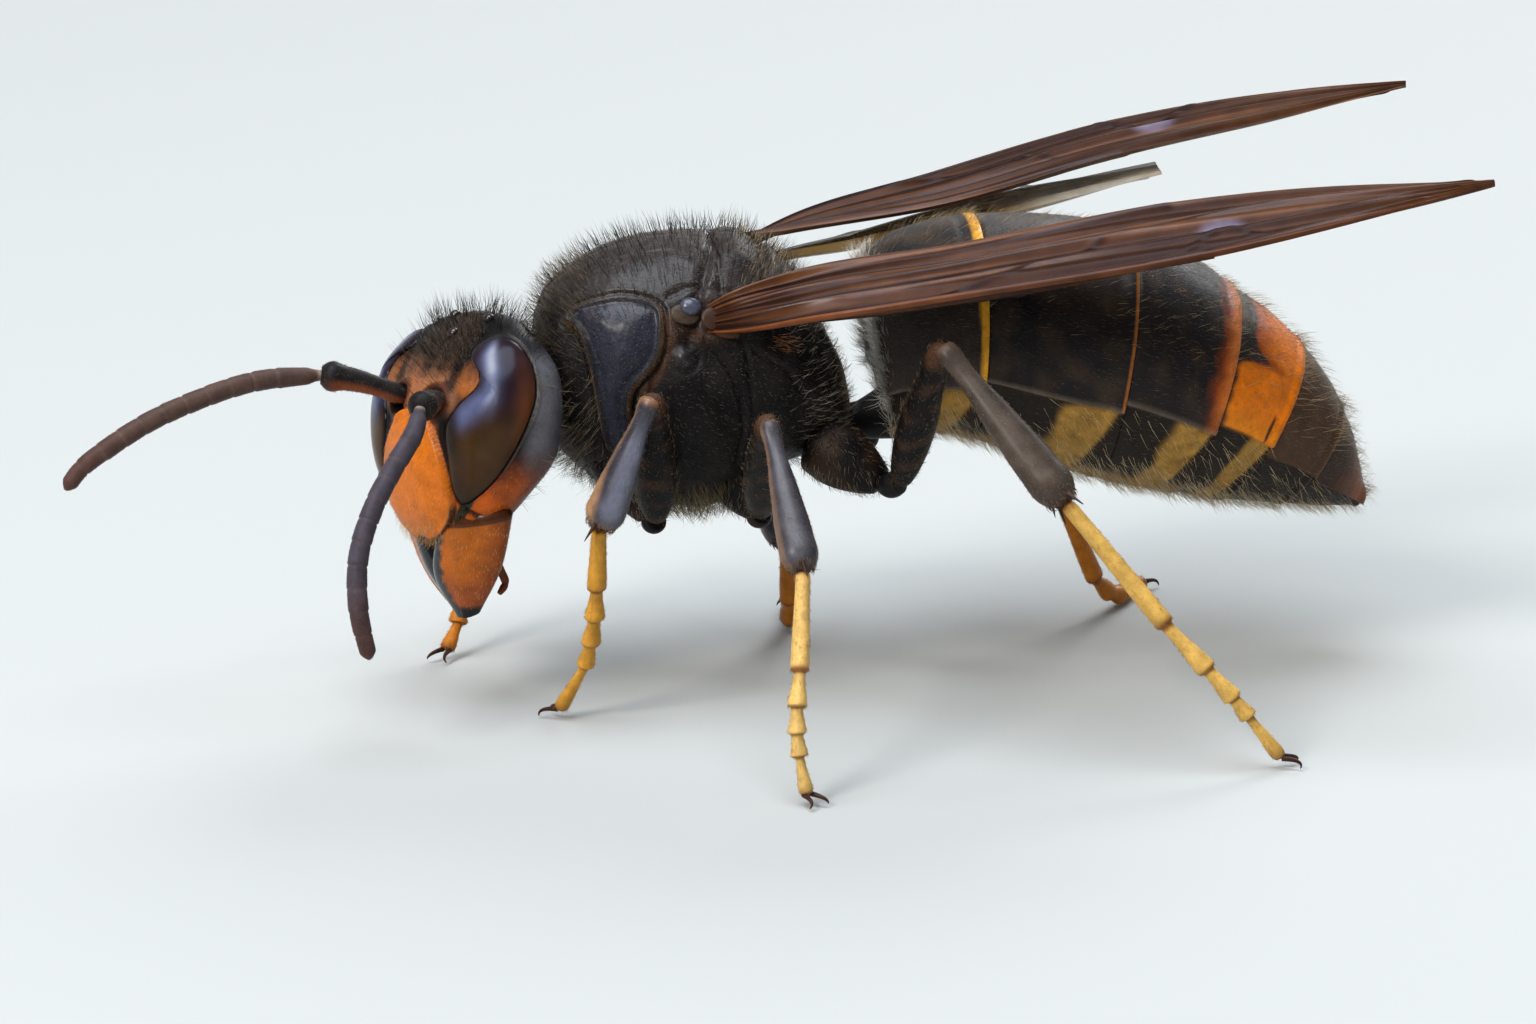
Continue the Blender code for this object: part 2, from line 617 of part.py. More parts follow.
def blade_rings(front, rear, thick, count, sides, extra=0.0):
    """Flat oval rings between two edges; thick is the half thickness at root, middle and tip."""
    at = np.linspace(0, 1, count)
    a, b = along(front, at), along(rear, at)
    across = b - a
    flat = unit(np.cross(np.gradient((a + b) / 2, axis=0), across))
    c, s = oval(sides)
    half = np.interp(at, (0, 0.5, 1), thick) + extra
    reach = 1 + extra / (np.linalg.norm(across, axis=1) / 2)
    rings = ((a + b) / 2)[:, None] + across[:, None] / 2 * (reach[:, None] * c)[..., None]
    return rings + flat[:, None] * (half[:, None] * s)[..., None]


def make_mandibles():
    for name, side in (("left", 1), ("right", -1)):
        edges = [[head_place(ahead, side * left, up) for ahead, left, up in edge] for edge in MANDIBLE_EDGES]
        jaw = blade_rings(*edges, MANDIBLE_HALF, 9, 12)
        jaw = rings_solid("mandible_" + name, jaw, "orange_cuticle")
        palp_path = along([head_place(a, side * b, u) for a, b, u in PALP_PATH], np.linspace(0, 1, 7))
        palp = tube_rings(palp_path, [PALP_HALF] * 7, [PALP_HALF] * 7, 8, head_axes()[0])
        palp = rings_solid("maxilla_" + name, palp, "orange_cuticle")
        boolean(jaw, [head_grown_with_clypeus()], "DIFFERENCE")
        jaw_grown = blade_rings(*edges, MANDIBLE_HALF, 9, 12, GAP)
        jaw_grown = rings_solid("jaw_grown", jaw_grown, "orange_cuticle")
        boolean(palp, [head_grown_with_clypeus(), jaw_grown], "DIFFERENCE")


def head_grown_with_clypeus():
    return boolean(head_loft("head_grown", extra=GAP), [clypeus(GAP)], "UNION")


def flagellum(name, path, half):
    """Eleven joints, the first one long, each a little wider at its end than where it starts."""
    ends = np.concatenate([[0], np.cumsum(FLAGELLUM_JOINTS) / sum(FLAGELLUM_JOINTS)])
    at = np.ravel([(s + 0.10 * (e - s), s + 0.86 * (e - s)) for s, e in zip(ends[:-1], ends[1:])])
    taper = np.interp(at, (0, 0.15, 0.8, 1), (0.86, 1.0, 1.0, 0.80))
    taper *= np.tile((0.93, 1.03), len(FLAGELLUM_JOINTS))
    rings = tube_rings(along(path, at), half * taper, half * taper, 8, (0.2, 1.0, 0.3))
    return rings_solid(name, rings, "brown_cuticle")


def make_antennae():
    for name, side in (("left", 1), ("right", -1)):
        root = head_surface(ANTENNA_ROOT[0], ANTENNA_ROOT[1], side) - head_axes()[0] * 0.25
        joint = np.array(ANTENNAE[name][0])
        half = SCAPE_HALF
        scape = straight("scape_" + name, root, joint, half, half, 10, "brown_cuticle")
        boolean(scape, [head_loft("head_grown", extra=GAP)], "DIFFERENCE")
        whip = flagellum("flagellum_" + name, ANTENNAE[name], FLAGELLUM_HALF)
        scape_grown = straight("scape_grown", root, joint, half, half, 10, "brown_cuticle", extra=GAP)
        boolean(whip, [scape_grown], "DIFFERENCE")


# Legs


def cone(name, root, tip, half, finish, sides=6):
    """A spine or a claw: a short taper with its root sunk in what it grows from."""
    taper = (half, half * 0.8, half * 0.16)
    return straight(name, root, tip, taper, taper, sides, finish)


def coxa(leg, extra=0.0):
    start, end = LEGS[leg]["coxa"]
    wide = [COXA_HALF[leg[:3]] * share for share in COXA_SWELL]
    name = "coxa_" + leg if not extra else "coxa_grown"
    return straight(name, start, end, wide, wide, 12, "black_cuticle", extra=extra)


def femur(leg, extra=0.0):
    start, knee = LEGS[leg]["femur"]
    wide = [LEGS[leg]["half"][0] * share for share in FEMUR_SWELL]
    deep = [FEMUR_FLAT * w for w in wide]
    name = "femur_" + leg if not extra else "femur_grown"
    return straight(name, start, knee, wide, deep, 10, "black_cuticle", (0, 1, 0.2), extra)


def tibia_line(leg):
    """The tibia's head stands just past the femur's tip, on the outer side of the bend."""
    start, knee = (np.array(p) for p in LEGS[leg]["femur"])
    ankle = np.array(LEGS[leg]["tarsus"][0])
    inside = unit(unit(start - knee) + unit(ankle - knee))
    return knee - inside * KNEE_STEP, ankle


def tibia(leg, extra=0.0):
    head, ankle = tibia_line(leg)
    wide = [KNEE_HALF, KNEE_HALF * 1.08] + [LEGS[leg]["half"][1] * share for share in TIBIA_SWELL]
    deep = [TIBIA_FLAT * w for w in wide]
    name = "tibia_" + leg if not extra else "tibia_grown"
    return straight(name, head, ankle, wide, deep, 10, "brown_cuticle", (0, 1, 0.2), extra)


def tarsus_rings(leg, extra=0.0, sides=8):
    """Five joints, each swelling from its root to a wider lip at its end."""
    joints = np.array(LEGS[leg]["tarsus"], float)
    path, half = [], []
    for i, (start, end) in enumerate(zip(joints[:-1], joints[1:])):
        for share, width in ((0.06, 0.80), (0.50, 0.96), (0.88, 1.14 if i < 4 else 0.92)):
            path.append(start + (end - start) * share)
            half.append(TARSUS_HALF * width)
    path[0] = joints[0]
    return tube_rings(path, half, [0.92 * h for h in half], sides, (0.3, 1, 0.2), extra)


def settle(target):
    """Lifts to the floor whatever reaches below it, which leaves a small flat sole."""
    for corner in target.data.vertices:
        corner.co.z = max(corner.co.z, 0.0)


def make_leg(leg):
    base = coxa(leg)
    boolean(base, [grown_thorax()], "DIFFERENCE")
    thigh = femur(leg)
    boolean(thigh, [coxa(leg, GAP), grown_thorax()], "DIFFERENCE")
    shin = tibia(leg)
    head, ankle = tibia_line(leg)
    heading = unit(ankle - head)
    foot = np.array(LEGS[leg]["tarsus"], float)
    beside = unit(np.cross(heading, (0.1, 1.0, 0.2)))
    spurs = []
    back, on, spread, half = SPUR
    for s in (-1, 1):
        root = ankle - heading * back + beside * spread * 0.4 * s
        tip = ankle + heading * on + beside * spread * s
        spurs.append(cone("spur", root, tip, half, "brown_cuticle"))
    boolean(shin, spurs, "UNION")
    boolean(shin, [femur(leg, GAP)], "DIFFERENCE")
    tarsus = rings_solid("tarsus_" + leg, tarsus_rings(leg), "yellow_cuticle")
    last = unit((foot[-1] - foot[-2]) * (1, 1, 0.25))
    aside = np.array([-last[1], last[0], 0.0])
    claws = []
    back, on, spread, half = CLAW
    for s in (-1, 1):
        tip = foot[-1] + last * on + aside * spread * s - (0, 0, CLAW_DROP)
        claws.append(cone("claw", foot[-1] - last * back, tip, half, "brown_cuticle"))
    boolean(tarsus, claws, "UNION")
    settle(tarsus)
    boolean(tarsus, [tibia(leg, GAP)], "DIFFERENCE")


# Wings


def wing(name, edges, columns, rows, extra=0.0):
    """A membrane between two edges, split alike on both faces, its veins raised along chosen columns."""
    at, v = np.linspace(0, 1, rows), np.linspace(0, 1, len(columns))
    a, b = along(edges[0], at), along(edges[1], at)
    across = unit(b - a)
    a, b = a - across * extra, b + across * extra
    sheet = a[:, None] + (b - a)[:, None] * v[None, :, None]
    flat = unit(np.cross(np.gradient((a + b) / 2, axis=0), b - a))
    flat *= np.sign(flat[:, 2:])
    fade = np.clip(1.15 - at, 0, 1)[:, None] * VEIN_RISE
    half = np.interp(at, (0, 0.88, 1), (0.5, 0.5, 0.2))[:, None] * WING_THICKNESS + extra
    above = sheet + flat[:, None] * (half + fade * np.array(columns))[..., None]
    below = sheet - flat[:, None] * half[..., None]
    across_count = len(columns)
    points = np.concatenate([above.reshape(-1, 3), below.reshape(-1, 3)])
    under = rows * across_count
    faces = []
    for i in range(rows - 1):
        for j in range(across_count - 1):
            p = i * across_count + j
            q = p + across_count
            faces += [(p, p + 1, q + 1), (p, q + 1, q)]
            faces += [(under + p, under + q + 1, under + p + 1), (under + p, under + q, under + q + 1)]
    numbers = np.arange(under).reshape(rows, across_count)
    rim = [*numbers[:, 0], *numbers[-1, 1:], *numbers[-2::-1, -1], *numbers[0, -2:0:-1]]
    for p, q in zip(rim, rim[1:] + rim[:1]):
        faces += [(p, q, under + q), (p, under + q, under + p)]
    return solid(name, points, faces, "wing_membrane")


def make_wings():
    for name in ("left", "right"):
        fore = wing("forewing_" + name, FOREWINGS[name], FOREWING_COLUMNS, WING_ROWS)
        boolean(fore, [grown_thorax()], "DIFFERENCE")
        hind = wing("hindwing_" + name, HINDWINGS[name], HINDWING_COLUMNS, 10)
        fore_grown = wing("forewing_grown", FOREWINGS[name], FOREWING_COLUMNS, WING_ROWS, GAP)
        boolean(hind, [grown_thorax(), fore_grown], "DIFFERENCE")


def main():
    for old in list(bpy.data.objects):
        bpy.data.objects.remove(old)
    make_head()
    make_mandibles()
    make_antennae()
    make_thorax()
    make_gaster()
    make_waist_and_neck()
    for leg in LEGS:
        make_leg(leg)
    make_wings()


main()
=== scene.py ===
"""Looks of a life-size Asian hornet standing on a pale floor: shell, eyes, wings, feelers, legs and coat.

Sizes are in millimetres in the animal's own frame, head towards -X, left side towards -Y, and turn into
metres where a mesh is made. A surface is a grid of points worked out as whole arrays: rows run along the
part and columns run round it. Every grid carries its colours, and the hairs that grow on it take theirs
from the same colours at their roots.
"""

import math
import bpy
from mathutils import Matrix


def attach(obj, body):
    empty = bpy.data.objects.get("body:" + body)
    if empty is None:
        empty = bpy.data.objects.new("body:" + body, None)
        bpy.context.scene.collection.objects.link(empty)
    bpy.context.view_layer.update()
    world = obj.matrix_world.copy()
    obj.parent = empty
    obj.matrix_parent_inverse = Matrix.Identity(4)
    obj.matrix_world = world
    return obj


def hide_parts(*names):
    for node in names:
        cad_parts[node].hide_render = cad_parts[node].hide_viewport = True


bl_info = {
    "name": "Asian Hornet",
    "version": (1, 0, 0),
    "blender": (4, 5, 0),
    "location": "3D View > Sidebar > Hornet",
    "description": "Builds a still, life-size Asian hornet around its packed solids",
    "category": "Add Mesh",
}

import bpy
import numpy as np
from mathutils import Matrix

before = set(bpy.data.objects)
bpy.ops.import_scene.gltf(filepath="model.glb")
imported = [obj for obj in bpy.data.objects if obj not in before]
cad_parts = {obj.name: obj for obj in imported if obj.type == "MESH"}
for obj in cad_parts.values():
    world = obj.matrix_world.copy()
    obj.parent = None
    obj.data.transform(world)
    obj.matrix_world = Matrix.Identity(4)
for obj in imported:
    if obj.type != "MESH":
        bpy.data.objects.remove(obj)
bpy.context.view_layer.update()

MM = 0.001
FLOOR_MIDDLE = np.array([-0.204, -1.984, 0.0])
SIDES = (("left", 1), ("right", -1))

# Camera of the photograph: heading, height over the horizon, distance and the point it looks at
VIEW_TURN = math.radians(6)
VIEW_RISE = math.radians(15)
VIEW_DISTANCE = 150.0
VIEW_TARGET = np.array([0.0, 0.0, 4.245])
PHOTO_WIDTH = 1536
PHOTO_HEIGHT = 1024
PIXELS_PER_MM = 40.0
SENSOR_WIDTH = 36.0

# Colours, linear
BLACK = np.array([0.0060, 0.0048, 0.0050])
RED_BROWN = np.array([0.20, 0.050, 0.016])
ORANGE = np.array([0.64, 0.150, 0.003])
RED_ORANGE = np.array([0.44, 0.080, 0.006])
YELLOW = np.array([0.76, 0.34, 0.020])
OLIVE = np.array([0.030, 0.026, 0.010])

# Head: middle, heading to the hornet's left, nod, roll to its right, and level sections: height, half width,
# front and back
HEAD_MIDDLE = np.array([-7.54, -1.05, 6.76])
HEAD_TURN = math.radians(31)
HEAD_NOD = math.radians(2)
HEAD_ROLL = math.radians(7)
HEAD_SECTIONS = (
    (-2.66, 0.30, 1.15, -0.75),
    (-2.52, 0.75, 1.38, -0.35),
    (-2.16, 1.45, 1.56, 0.20),
    (-1.62, 2.05, 1.68, 0.75),
    (-0.90, 2.55, 1.72, 1.20),
    (0.10, 2.82, 1.64, 1.50),
    (1.10, 2.80, 1.34, 1.62),
    (1.90, 2.45, 0.82, 1.58),
    (2.46, 1.90, 0.15, 1.38),
    (2.78, 1.05, -0.35, 1.15),
    (2.89, 0.30, -0.60, 0.90),
)
HEAD_POWER = 2.35
# Outlines on the head as turn from the side towards the face in degrees, and height. Laid flat, a degree of
# turn is this many millimetres, and the height stays
DEGREE_MM = 0.045
FLAT_SCALE = np.array([DEGREE_MM, 1.0])
EYE_OUTLINE = (
    (9, 2.28),
    (-1, 1.92),
    (-3, 1.22),
    (2, 0.52),
    (12, -0.20),
    (28, -0.98),
    (46, -1.38),
    (58, -1.04),
    (63, -0.28),
    (66, 0.50),
    (58, 1.02),
    (46, 1.42),
    (47, 1.80),
    (58, 2.16),
    (47, 2.38),
    (28, 2.44),
)
EYE_MIDDLE = np.array([28.0, 1.25])
EYE_RISE = 0.24
EYE_SINK = 0.02
# Blue reflections in the eye, on the head laid flat
EYE_BAR = ((1.75, 2.05), (1.45, 1.55), (1.60, 1.15), (2.35, 0.75))
EYE_GLINT = ((1.66, 2.08), (1.52, 1.72))
CLYPEUS_OUTLINE = (
    (97, 0.80),
    (83, 0.80),
    (72, 0.18),
    (62, -0.78),
    (54, -1.58),
    (61, -2.12),
    (77, -2.40),
    (103, -2.40),
    (119, -2.12),
    (126, -1.58),
    (118, -0.78),
    (108, 0.18),
)
ANTENNA_ROOT = (78, 1.04)
OCELLI = ((90, 2.50), (40, 2.80), (140, 2.80))
OCELLUS_HALF = 0.15
# Mandible edges in the head's own ahead, left and up: the cutting edge, and the outer edge
MANDIBLE_EDGES = (
    ((1.42, 0.50, -1.92), (1.52, 0.16, -3.14), (0.95, 0.08, -4.42)),
    ((0.35, 2.05, -1.80), (0.48, 1.52, -3.14), (0.62, 0.55, -4.34)),
)
MANDIBLE_HALF = (0.42, 0.36, 0.14)
PALP_PATH = (
    (0.05, 0.70, -1.80),
    (0.18, 0.74, -2.75),
    (-0.02, 0.76, -3.40),
    (-0.10, 0.78, -3.74),
    (0.12, 0.80, -3.96),
)
PALP_HALF = 0.105
# The far mandible is drawn back by this much, from its hinge's height down
FAR_JAW_BACK = 0.28
JAW_HINGE_HEIGHT = -1.5
ANTENNAE = {
    "left": ((-8.82, -3.95, 8.12), (-8.98, -4.40, 7.70), (-9.55, -5.05, 6.92), (-10.02, -5.55, 6.18),
             (-10.44, -6.05, 5.06), (-10.48, -6.40, 3.85), (-10.24, -6.50, 2.62)),
    "right": ((-11.10, -0.90, 8.27), (-12.67, -1.20, 8.23), (-14.32, -1.60, 7.82), (-15.37, -1.90, 7.42),
              (-16.26, -2.20, 6.94), (-17.04, -2.40, 6.39), (-17.39, -2.50, 5.95)),
}
FLAGELLUM_HALF = 0.25
FEELER_FACING = (0.2, 1.0, 0.3)
SCAPE_PROFILE = ((0, 0.16), (0.12, 0.24), (0.3, 0.24), (0.7, 0.30), (0.94, 0.33), (1, 0.22))
# Half width of the whip against its widest, by share of its length
WHIP_PLACES = (0, 0.02, 0.05, 0.15, 0.8, 0.97, 1)
WHIP_SWELL = (0.55, 0.6, 0.86, 1.0, 0.98, 0.80, 0.55)
# Near and far whip, one colour in life, given different tones as painted light and shade
WHIP_LIGHT_TONES = {"left": (0.060, 0.050, 0.066), "right": (0.084, 0.048, 0.038)}

# Thorax: station along X, height of the middle, half height, half width and lean of each ring
THORAX_SECTIONS = (
    (-5.80, 8.25, 0.70, 0.70, 2),
    (-5.72, 8.22, 1.30, 1.20, 2),
    (-5.38, 8.15, 1.98, 1.85, 3),
    (-4.80, 8.06, 2.52, 2.32, 4),
    (-4.10, 8.01, 2.96, 2.65, 5),
    (-3.40, 8.00, 3.24, 2.86, 5),
    (-2.60, 8.00, 3.40, 2.95, 4),
    (-1.60, 8.00, 3.42, 2.95, 0),
    (-0.60, 7.98, 3.15, 2.85, -4),
    (0.15, 7.80, 2.70, 2.62, -9),
    (0.60, 7.35, 1.95, 2.20, -20),
    (1.15, 6.90, 1.35, 1.60, -28),
    (1.55, 6.50, 0.80, 1.00, -32),
    (1.80, 6.35, 0.40, 0.50, -20),
)
# Side plates of the thorax as seen by the camera, in pixels of the photograph
COLLAR_OUTLINE = (
    (562, 322),
    (576, 306),
    (596, 299),
    (620, 295),
    (644, 298),
    (660, 306),
    (664, 320),
    (664, 338),
    (662, 352),
    (654, 368),
    (642, 381),
    (634, 392),
    (631, 408),
    (634, 440),
    (612, 452),
    (602, 430),
    (596, 400),
    (591, 372),
    (584, 346),
    (575, 328),
)
# Grooves of the side in the photograph: depth, which is under zero for a rim, width and line
SIDE_GROOVES = (
    (0.07, 0.07, ((668, 296), (684, 288), (708, 284), (730, 292), (748, 304))),
    (0.08, 0.07, ((664, 352), (652, 384), (650, 420), (660, 470))),
    (0.10, 0.08, ((706, 340), (728, 366), (741, 396), (744, 430), (736, 462))),
    (0.07, 0.07, ((756, 352), (790, 372), (812, 410), (818, 450))),
    (-0.08, 0.07, ((819, 329), (838, 365), (847, 407), (849, 432))),
)
# Swollen plates of the side in the photograph: height, reach and line
SIDE_SWELLS = (
    (0.10, 1.1, ((690, 400), (700, 440), (690, 460))),
    (0.06, 0.8, ((768, 380), (782, 420))),
)
SIDE_BUMP = (684, 358)
SEAM_PROPODEUM = ((-1.50, 14.0), (-1.35, 10.2), (-0.80, 9.0), (-0.55, 6.5), (-0.50, 2.0))
NECK_PATH = ((-4.20, 0.0, 7.90), (-5.25, -0.15, 7.68), (-6.30, -0.35, 7.40))
WAIST_PATH = ((1.20, 0.0, 6.50), (2.20, 0.0, 6.55), (3.40, 0.0, 6.85))
# How square the rings of thorax and gaster are, where 2 is an oval
THORAX_POWER = 2.15
GASTER_POWER = 2.1
# Gaster: station, which is whole at each ring's rear edge, then X, height, half height, half width and lean
GASTER_SECTIONS = (
    (0.00, 2.75, 8.25, 1.95, 1.75, 9),
    (0.12, 2.66, 8.40, 2.12, 2.15, 8),
    (0.35, 3.10, 8.72, 2.38, 2.55, 3),
    (0.65, 4.10, 8.88, 2.60, 2.88, 0),
    (1.00, 5.10, 8.85, 2.76, 3.05, -2),
    (1.50, 6.98, 8.48, 3.08, 3.30, -6),
    (2.00, 8.55, 8.12, 3.13, 3.32, -9),
    (2.50, 9.78, 7.66, 3.00, 3.20, -14),
    (3.00, 10.88, 7.12, 2.66, 3.00, -18),
    (3.50, 11.65, 6.72, 2.46, 2.72, -24),
    (4.00, 12.32, 6.28, 2.22, 2.42, -29),
    (4.50, 13.03, 5.84, 1.86, 2.05, -32),
    (5.00, 13.66, 5.38, 1.45, 1.65, -33),
    (5.60, 14.52, 4.70, 0.76, 0.92, -28),
    (6.00, 15.05, 4.12, 0.16, 0.18, -25),
)
# Sine of the turn at which each ring's upper plate ends over the lower one
PLATE_EDGES = (-0.34, -0.23, -0.16, -0.04, -0.14, -0.20)
COXA_HALF = {"fore": 0.78, "mid": 0.72, "hind": 0.80}
# Shins: dark colour, painted highlight on the face, joints, share of the orange front edge, and share of
# clear coat
SHIN_TONES = {
    "fore": ((0.040, 0.036, 0.050), (0.200, 0.205, 0.270), (0.30, 0.130, 0.050), 0.90, 0.55),
    "mid": ((0.062, 0.055, 0.064), (0.235, 0.215, 0.235), (0.110, 0.060, 0.042), 0.35, 0.4),
    "hind": ((0.078, 0.056, 0.043), (0.102, 0.072, 0.052), (0.120, 0.064, 0.040), 0.25, 0.08),
}
SHIN_FRONT = np.array([-0.98, -0.15, 0.1])
# Side of the shins, towards the camera, that takes the painted highlight
SHIN_HIGHLIGHT_SIDE = np.array([0.10, -0.98, 0.15])
# Feet: yellow of each near pair, and of all the far feet, which is darker with painted shade
FOOT_TONES = {"fore": (0.64, 0.300, 0.035), "mid": (0.74, 0.460, 0.140), "hind": (0.68, 0.400, 0.095)}
FAR_FOOT_SHADED_TONE = (0.58, 0.190, 0.015)
# Lengths of the whip's joints, from the scape to the tip
WHIP_JOINTS = np.array([1.9] + [1.0] * 9 + [1.15])
# Legs: hip ends, thigh ends, the foot's joints from ankle to claws, and half widths of thigh and shin
LEGS = {
    "fore_left": (((-4.05, -1.10, 6.50), (-3.10, -2.05, 4.75)), ((-3.00, -2.30, 4.75), (-3.29, -4.60, 8.42)),
                  ((-4.59, -4.70, 5.22), (-4.64, -4.40, 3.60), (-4.68, -4.18, 2.80), (-4.76, -3.95, 2.12),
                   (-4.88, -3.75, 1.50), (-5.48, -3.25, 0.26)), (0.54, 0.46)),
    "fore_right": (((-4.05, 1.10, 6.50), (-3.80, 2.10, 4.90)), ((-3.80, 2.35, 4.90), (-5.60, 4.50, 7.20)),
                   ((-7.45, 3.40, 4.30), (-7.52, 3.05, 2.65), (-7.56, 2.85, 1.90), (-7.60, 2.70, 1.30),
                    (-7.66, 2.55, 0.85), (-7.98, 2.15, 0.26)), (0.54, 0.46)),
    "mid_left": (((-1.15, -1.10, 5.90), (-0.50, -2.25, 4.85)), ((-0.45, -2.50, 4.90), (-0.63, -6.00, 8.13)),
                 ((-0.07, -8.60, 5.07), (-0.30, -9.95, 3.00), (-0.40, -10.30, 2.25), (-0.41, -10.48, 1.65),
                  (-0.37, -10.60, 1.15), (-0.22, -10.80, 0.26)), (0.50, 0.42)),
    "mid_right": (((-1.15, 1.00, 5.90), (-0.80, 1.90, 4.80)), ((-0.80, 2.15, 4.80), (-0.46, 5.34, 5.55)),
                  ((0.72, 2.40, 2.75), (0.85, 3.05, 1.05), (0.92, 3.55, 0.50), (0.97, 4.10, 0.30),
                   (1.02, 4.60, 0.28), (1.12, 5.60, 0.26)), (0.50, 0.42)),
    "hind_left": (((1.10, -1.05, 6.30), (2.60, -2.15, 5.50)), ((3.00, -2.60, 5.60), (3.65, -5.20, 9.68)),
                  ((6.36, -7.40, 6.26), (8.66, -8.50, 3.45), (9.60, -8.90, 2.45), (10.22, -9.05, 1.75),
                   (10.58, -9.08, 1.30), (11.38, -9.10, 0.26)), (0.48, 0.52)),
    "hind_right": (((1.10, 1.05, 6.30), (2.55, 2.15, 5.50)), ((2.90, 2.50, 5.60), (5.40, 5.60, 7.50)),
                   ((7.95, 3.40, 3.45), (9.00, 4.30, 1.05), (9.45, 4.85, 0.52), (9.80, 5.35, 0.30),
                    (10.08, 5.80, 0.28), (10.65, 6.70, 0.26)), (0.48, 0.52)),
}
# Wings: leading edge and folded inner edge
FOREWINGS = {
    "left": (((-1.95, -2.20, 9.40), (-1.20, -3.15, 9.60), (0.94, -4.60, 10.22), (4.53, -5.60, 10.95),
              (9.75, -6.60, 11.96), (14.00, -6.55, 12.90), (17.00, -5.40, 13.37)),
             ((-1.85, -2.05, 9.95), (-1.15, -2.70, 10.55), (0.58, -2.45, 10.98), (4.33, -2.40, 11.48),
              (9.65, -3.10, 12.55), (14.19, -4.20, 13.15), (17.00, -5.25, 13.42))),
    "right": (((-1.95, 2.20, 9.40), (-1.20, 3.15, 9.75), (0.90, 4.35, 10.75), (4.82, 5.20, 11.75),
               (10.00, 6.30, 12.85), (14.00, 6.40, 13.40), (17.08, 5.40, 13.76)),
              ((-1.85, 2.05, 9.95), (-1.15, 2.70, 10.55), (0.70, 2.45, 10.90), (4.45, 2.40, 11.45),
               (9.48, 3.10, 12.60), (14.02, 4.20, 13.25), (17.05, 5.25, 13.70))),
}
HINDWINGS = {
    "left": (((-0.95, -1.95, 9.45), (-0.10, -3.00, 9.80), (2.60, -3.70, 10.15), (6.00, -4.20, 10.70),
              (10.40, -4.30, 11.50)),
             ((-0.90, -1.80, 9.75), (-0.05, -2.60, 9.95), (2.60, -2.60, 10.35), (6.00, -2.80, 10.90),
              (10.40, -3.40, 11.75))),
    "right": (((-0.95, 1.95, 9.45), (-0.10, 3.00, 9.85), (2.60, 3.80, 10.45), (6.00, 4.50, 11.20),
               (10.40, 4.30, 12.00)),
              ((-0.90, 1.80, 9.75), (-0.05, 2.60, 10.00), (2.60, 2.60, 10.45), (6.00, 2.80, 11.05),
               (10.40, 3.30, 11.95))),
}

# Wings: size laid flat, number of pleats, and veins as span and chord at both ends
WING_SIZE = np.array([14.0, 3.2])
PLEATS = 3.2
WING_VEINS = np.array([
    ((0, 0.02), (1, 0.02)),
    ((0, 0.14), (0.60, 0.10)),
    ((0, 0.30), (0.36, 0.34)),
    ((0.36, 0.34), (0.95, 0.46)),
    ((0, 0.52), (0.50, 0.60)),
    ((0.50, 0.60), (0.97, 0.80)),
    ((0.02, 0.80), (0.60, 0.93)),
    ((0.30, 0.12), (0.44, 0.34)),
    ((0.46, 0.34), (0.52, 0.60)),
    ((0.60, 0.10), (0.90, 0.08)),
    ((0.58, 0.10), (0.66, 0.38)),
    ((0.66, 0.38), (0.74, 0.12)),
])
# Small plates at each wing's root: middle, normal, size, colour and look
WING_PLATES = {
    # The scale's blue-grey tint is a painted sheen
    "scale": ((-2.14, 2.40, 10.12), (0.10, 1.0, 0.70), (0.27, 0.23, 0.16), (0.060, 0.066, 0.098), "scale"),
    "base": ((-2.28, 2.42, 9.94), (0.15, 1.0, 0.55), (0.38, 0.27, 0.10), (0.066, 0.044, 0.030), "jaw"),
    "plate": ((-1.58, 2.58, 9.84), (0.2, 1.0, 0.5), (0.34, 0.30, 0.09), (0.050, 0.024, 0.016), "jaw"),
    "knob": ((-1.30, 2.78, 9.52), (-0.2, 1.0, 0.1), (0.32, 0.13, 0.10), (0.095, 0.036, 0.016), "jaw"),
}

# Grids and colours of the finished skins, by name, which the coats grow on
skins = {}


# Curves and fields


def unit(vectors):
    """Vectors over their own lengths."""
    vectors = np.asarray(vectors, float)
    return vectors / np.maximum(np.linalg.norm(vectors, axis=-1, keepdims=True), 1e-12)


def step(value, low, high):
    """Rises smoothly from 0 at low to 1 at high, or falls where high is under low."""
    share = np.clip((np.asarray(value, float) - low) / (high - low), 0, 1)
    return share * share * (3 - 2 * share)


def ridge(value, width):
    """A bell round zero: e to the minus square of value over width."""
    return np.exp(-((value / width) ** 2))


def mix(first, second, share):
    """Colour between two colours, by a share for each point."""
    share = np.asarray(share)[..., None]
    return np.asarray(first) * (1 - share) + np.asarray(second) * share


def layered(base, *layers):
    """A base colour under layers, each a colour and its share at every point."""
    for colour, share in layers:
        base = mix(base, colour, share)
    return base


def smooth(knots, at):
    """Cubic through the knots: their first column is the parameter, and slopes are central differences."""
    knots = np.asarray(knots, float)
    at = np.asarray(at, float)
    stations, values = knots[:, 0], knots[:, 1:]
    slopes = np.gradient(values, stations, axis=0)
    low = np.clip(np.searchsorted(stations, at, side="right") - 1, 0, len(stations) - 2)
    span = (stations[low + 1] - stations[low])[..., None]
    w = (at - stations[low])[..., None] / span
    return (
        values[low] * (1 + 2 * w) * (1 - w) ** 2
        + slopes[low] * span * w * (1 - w) ** 2
        + values[low + 1] * w**2 * (3 - 2 * w)
        + slopes[low + 1] * span * w**2 * (w - 1)
    )


def along(points, at):
    """Smooth path through points, read at shares of its chord length."""
    points = np.asarray(points, float)
    lengths = np.concatenate([[0], np.cumsum(np.linalg.norm(np.diff(points, axis=0), axis=1))])
    return smooth(np.column_stack([lengths / lengths[-1], points]), at)


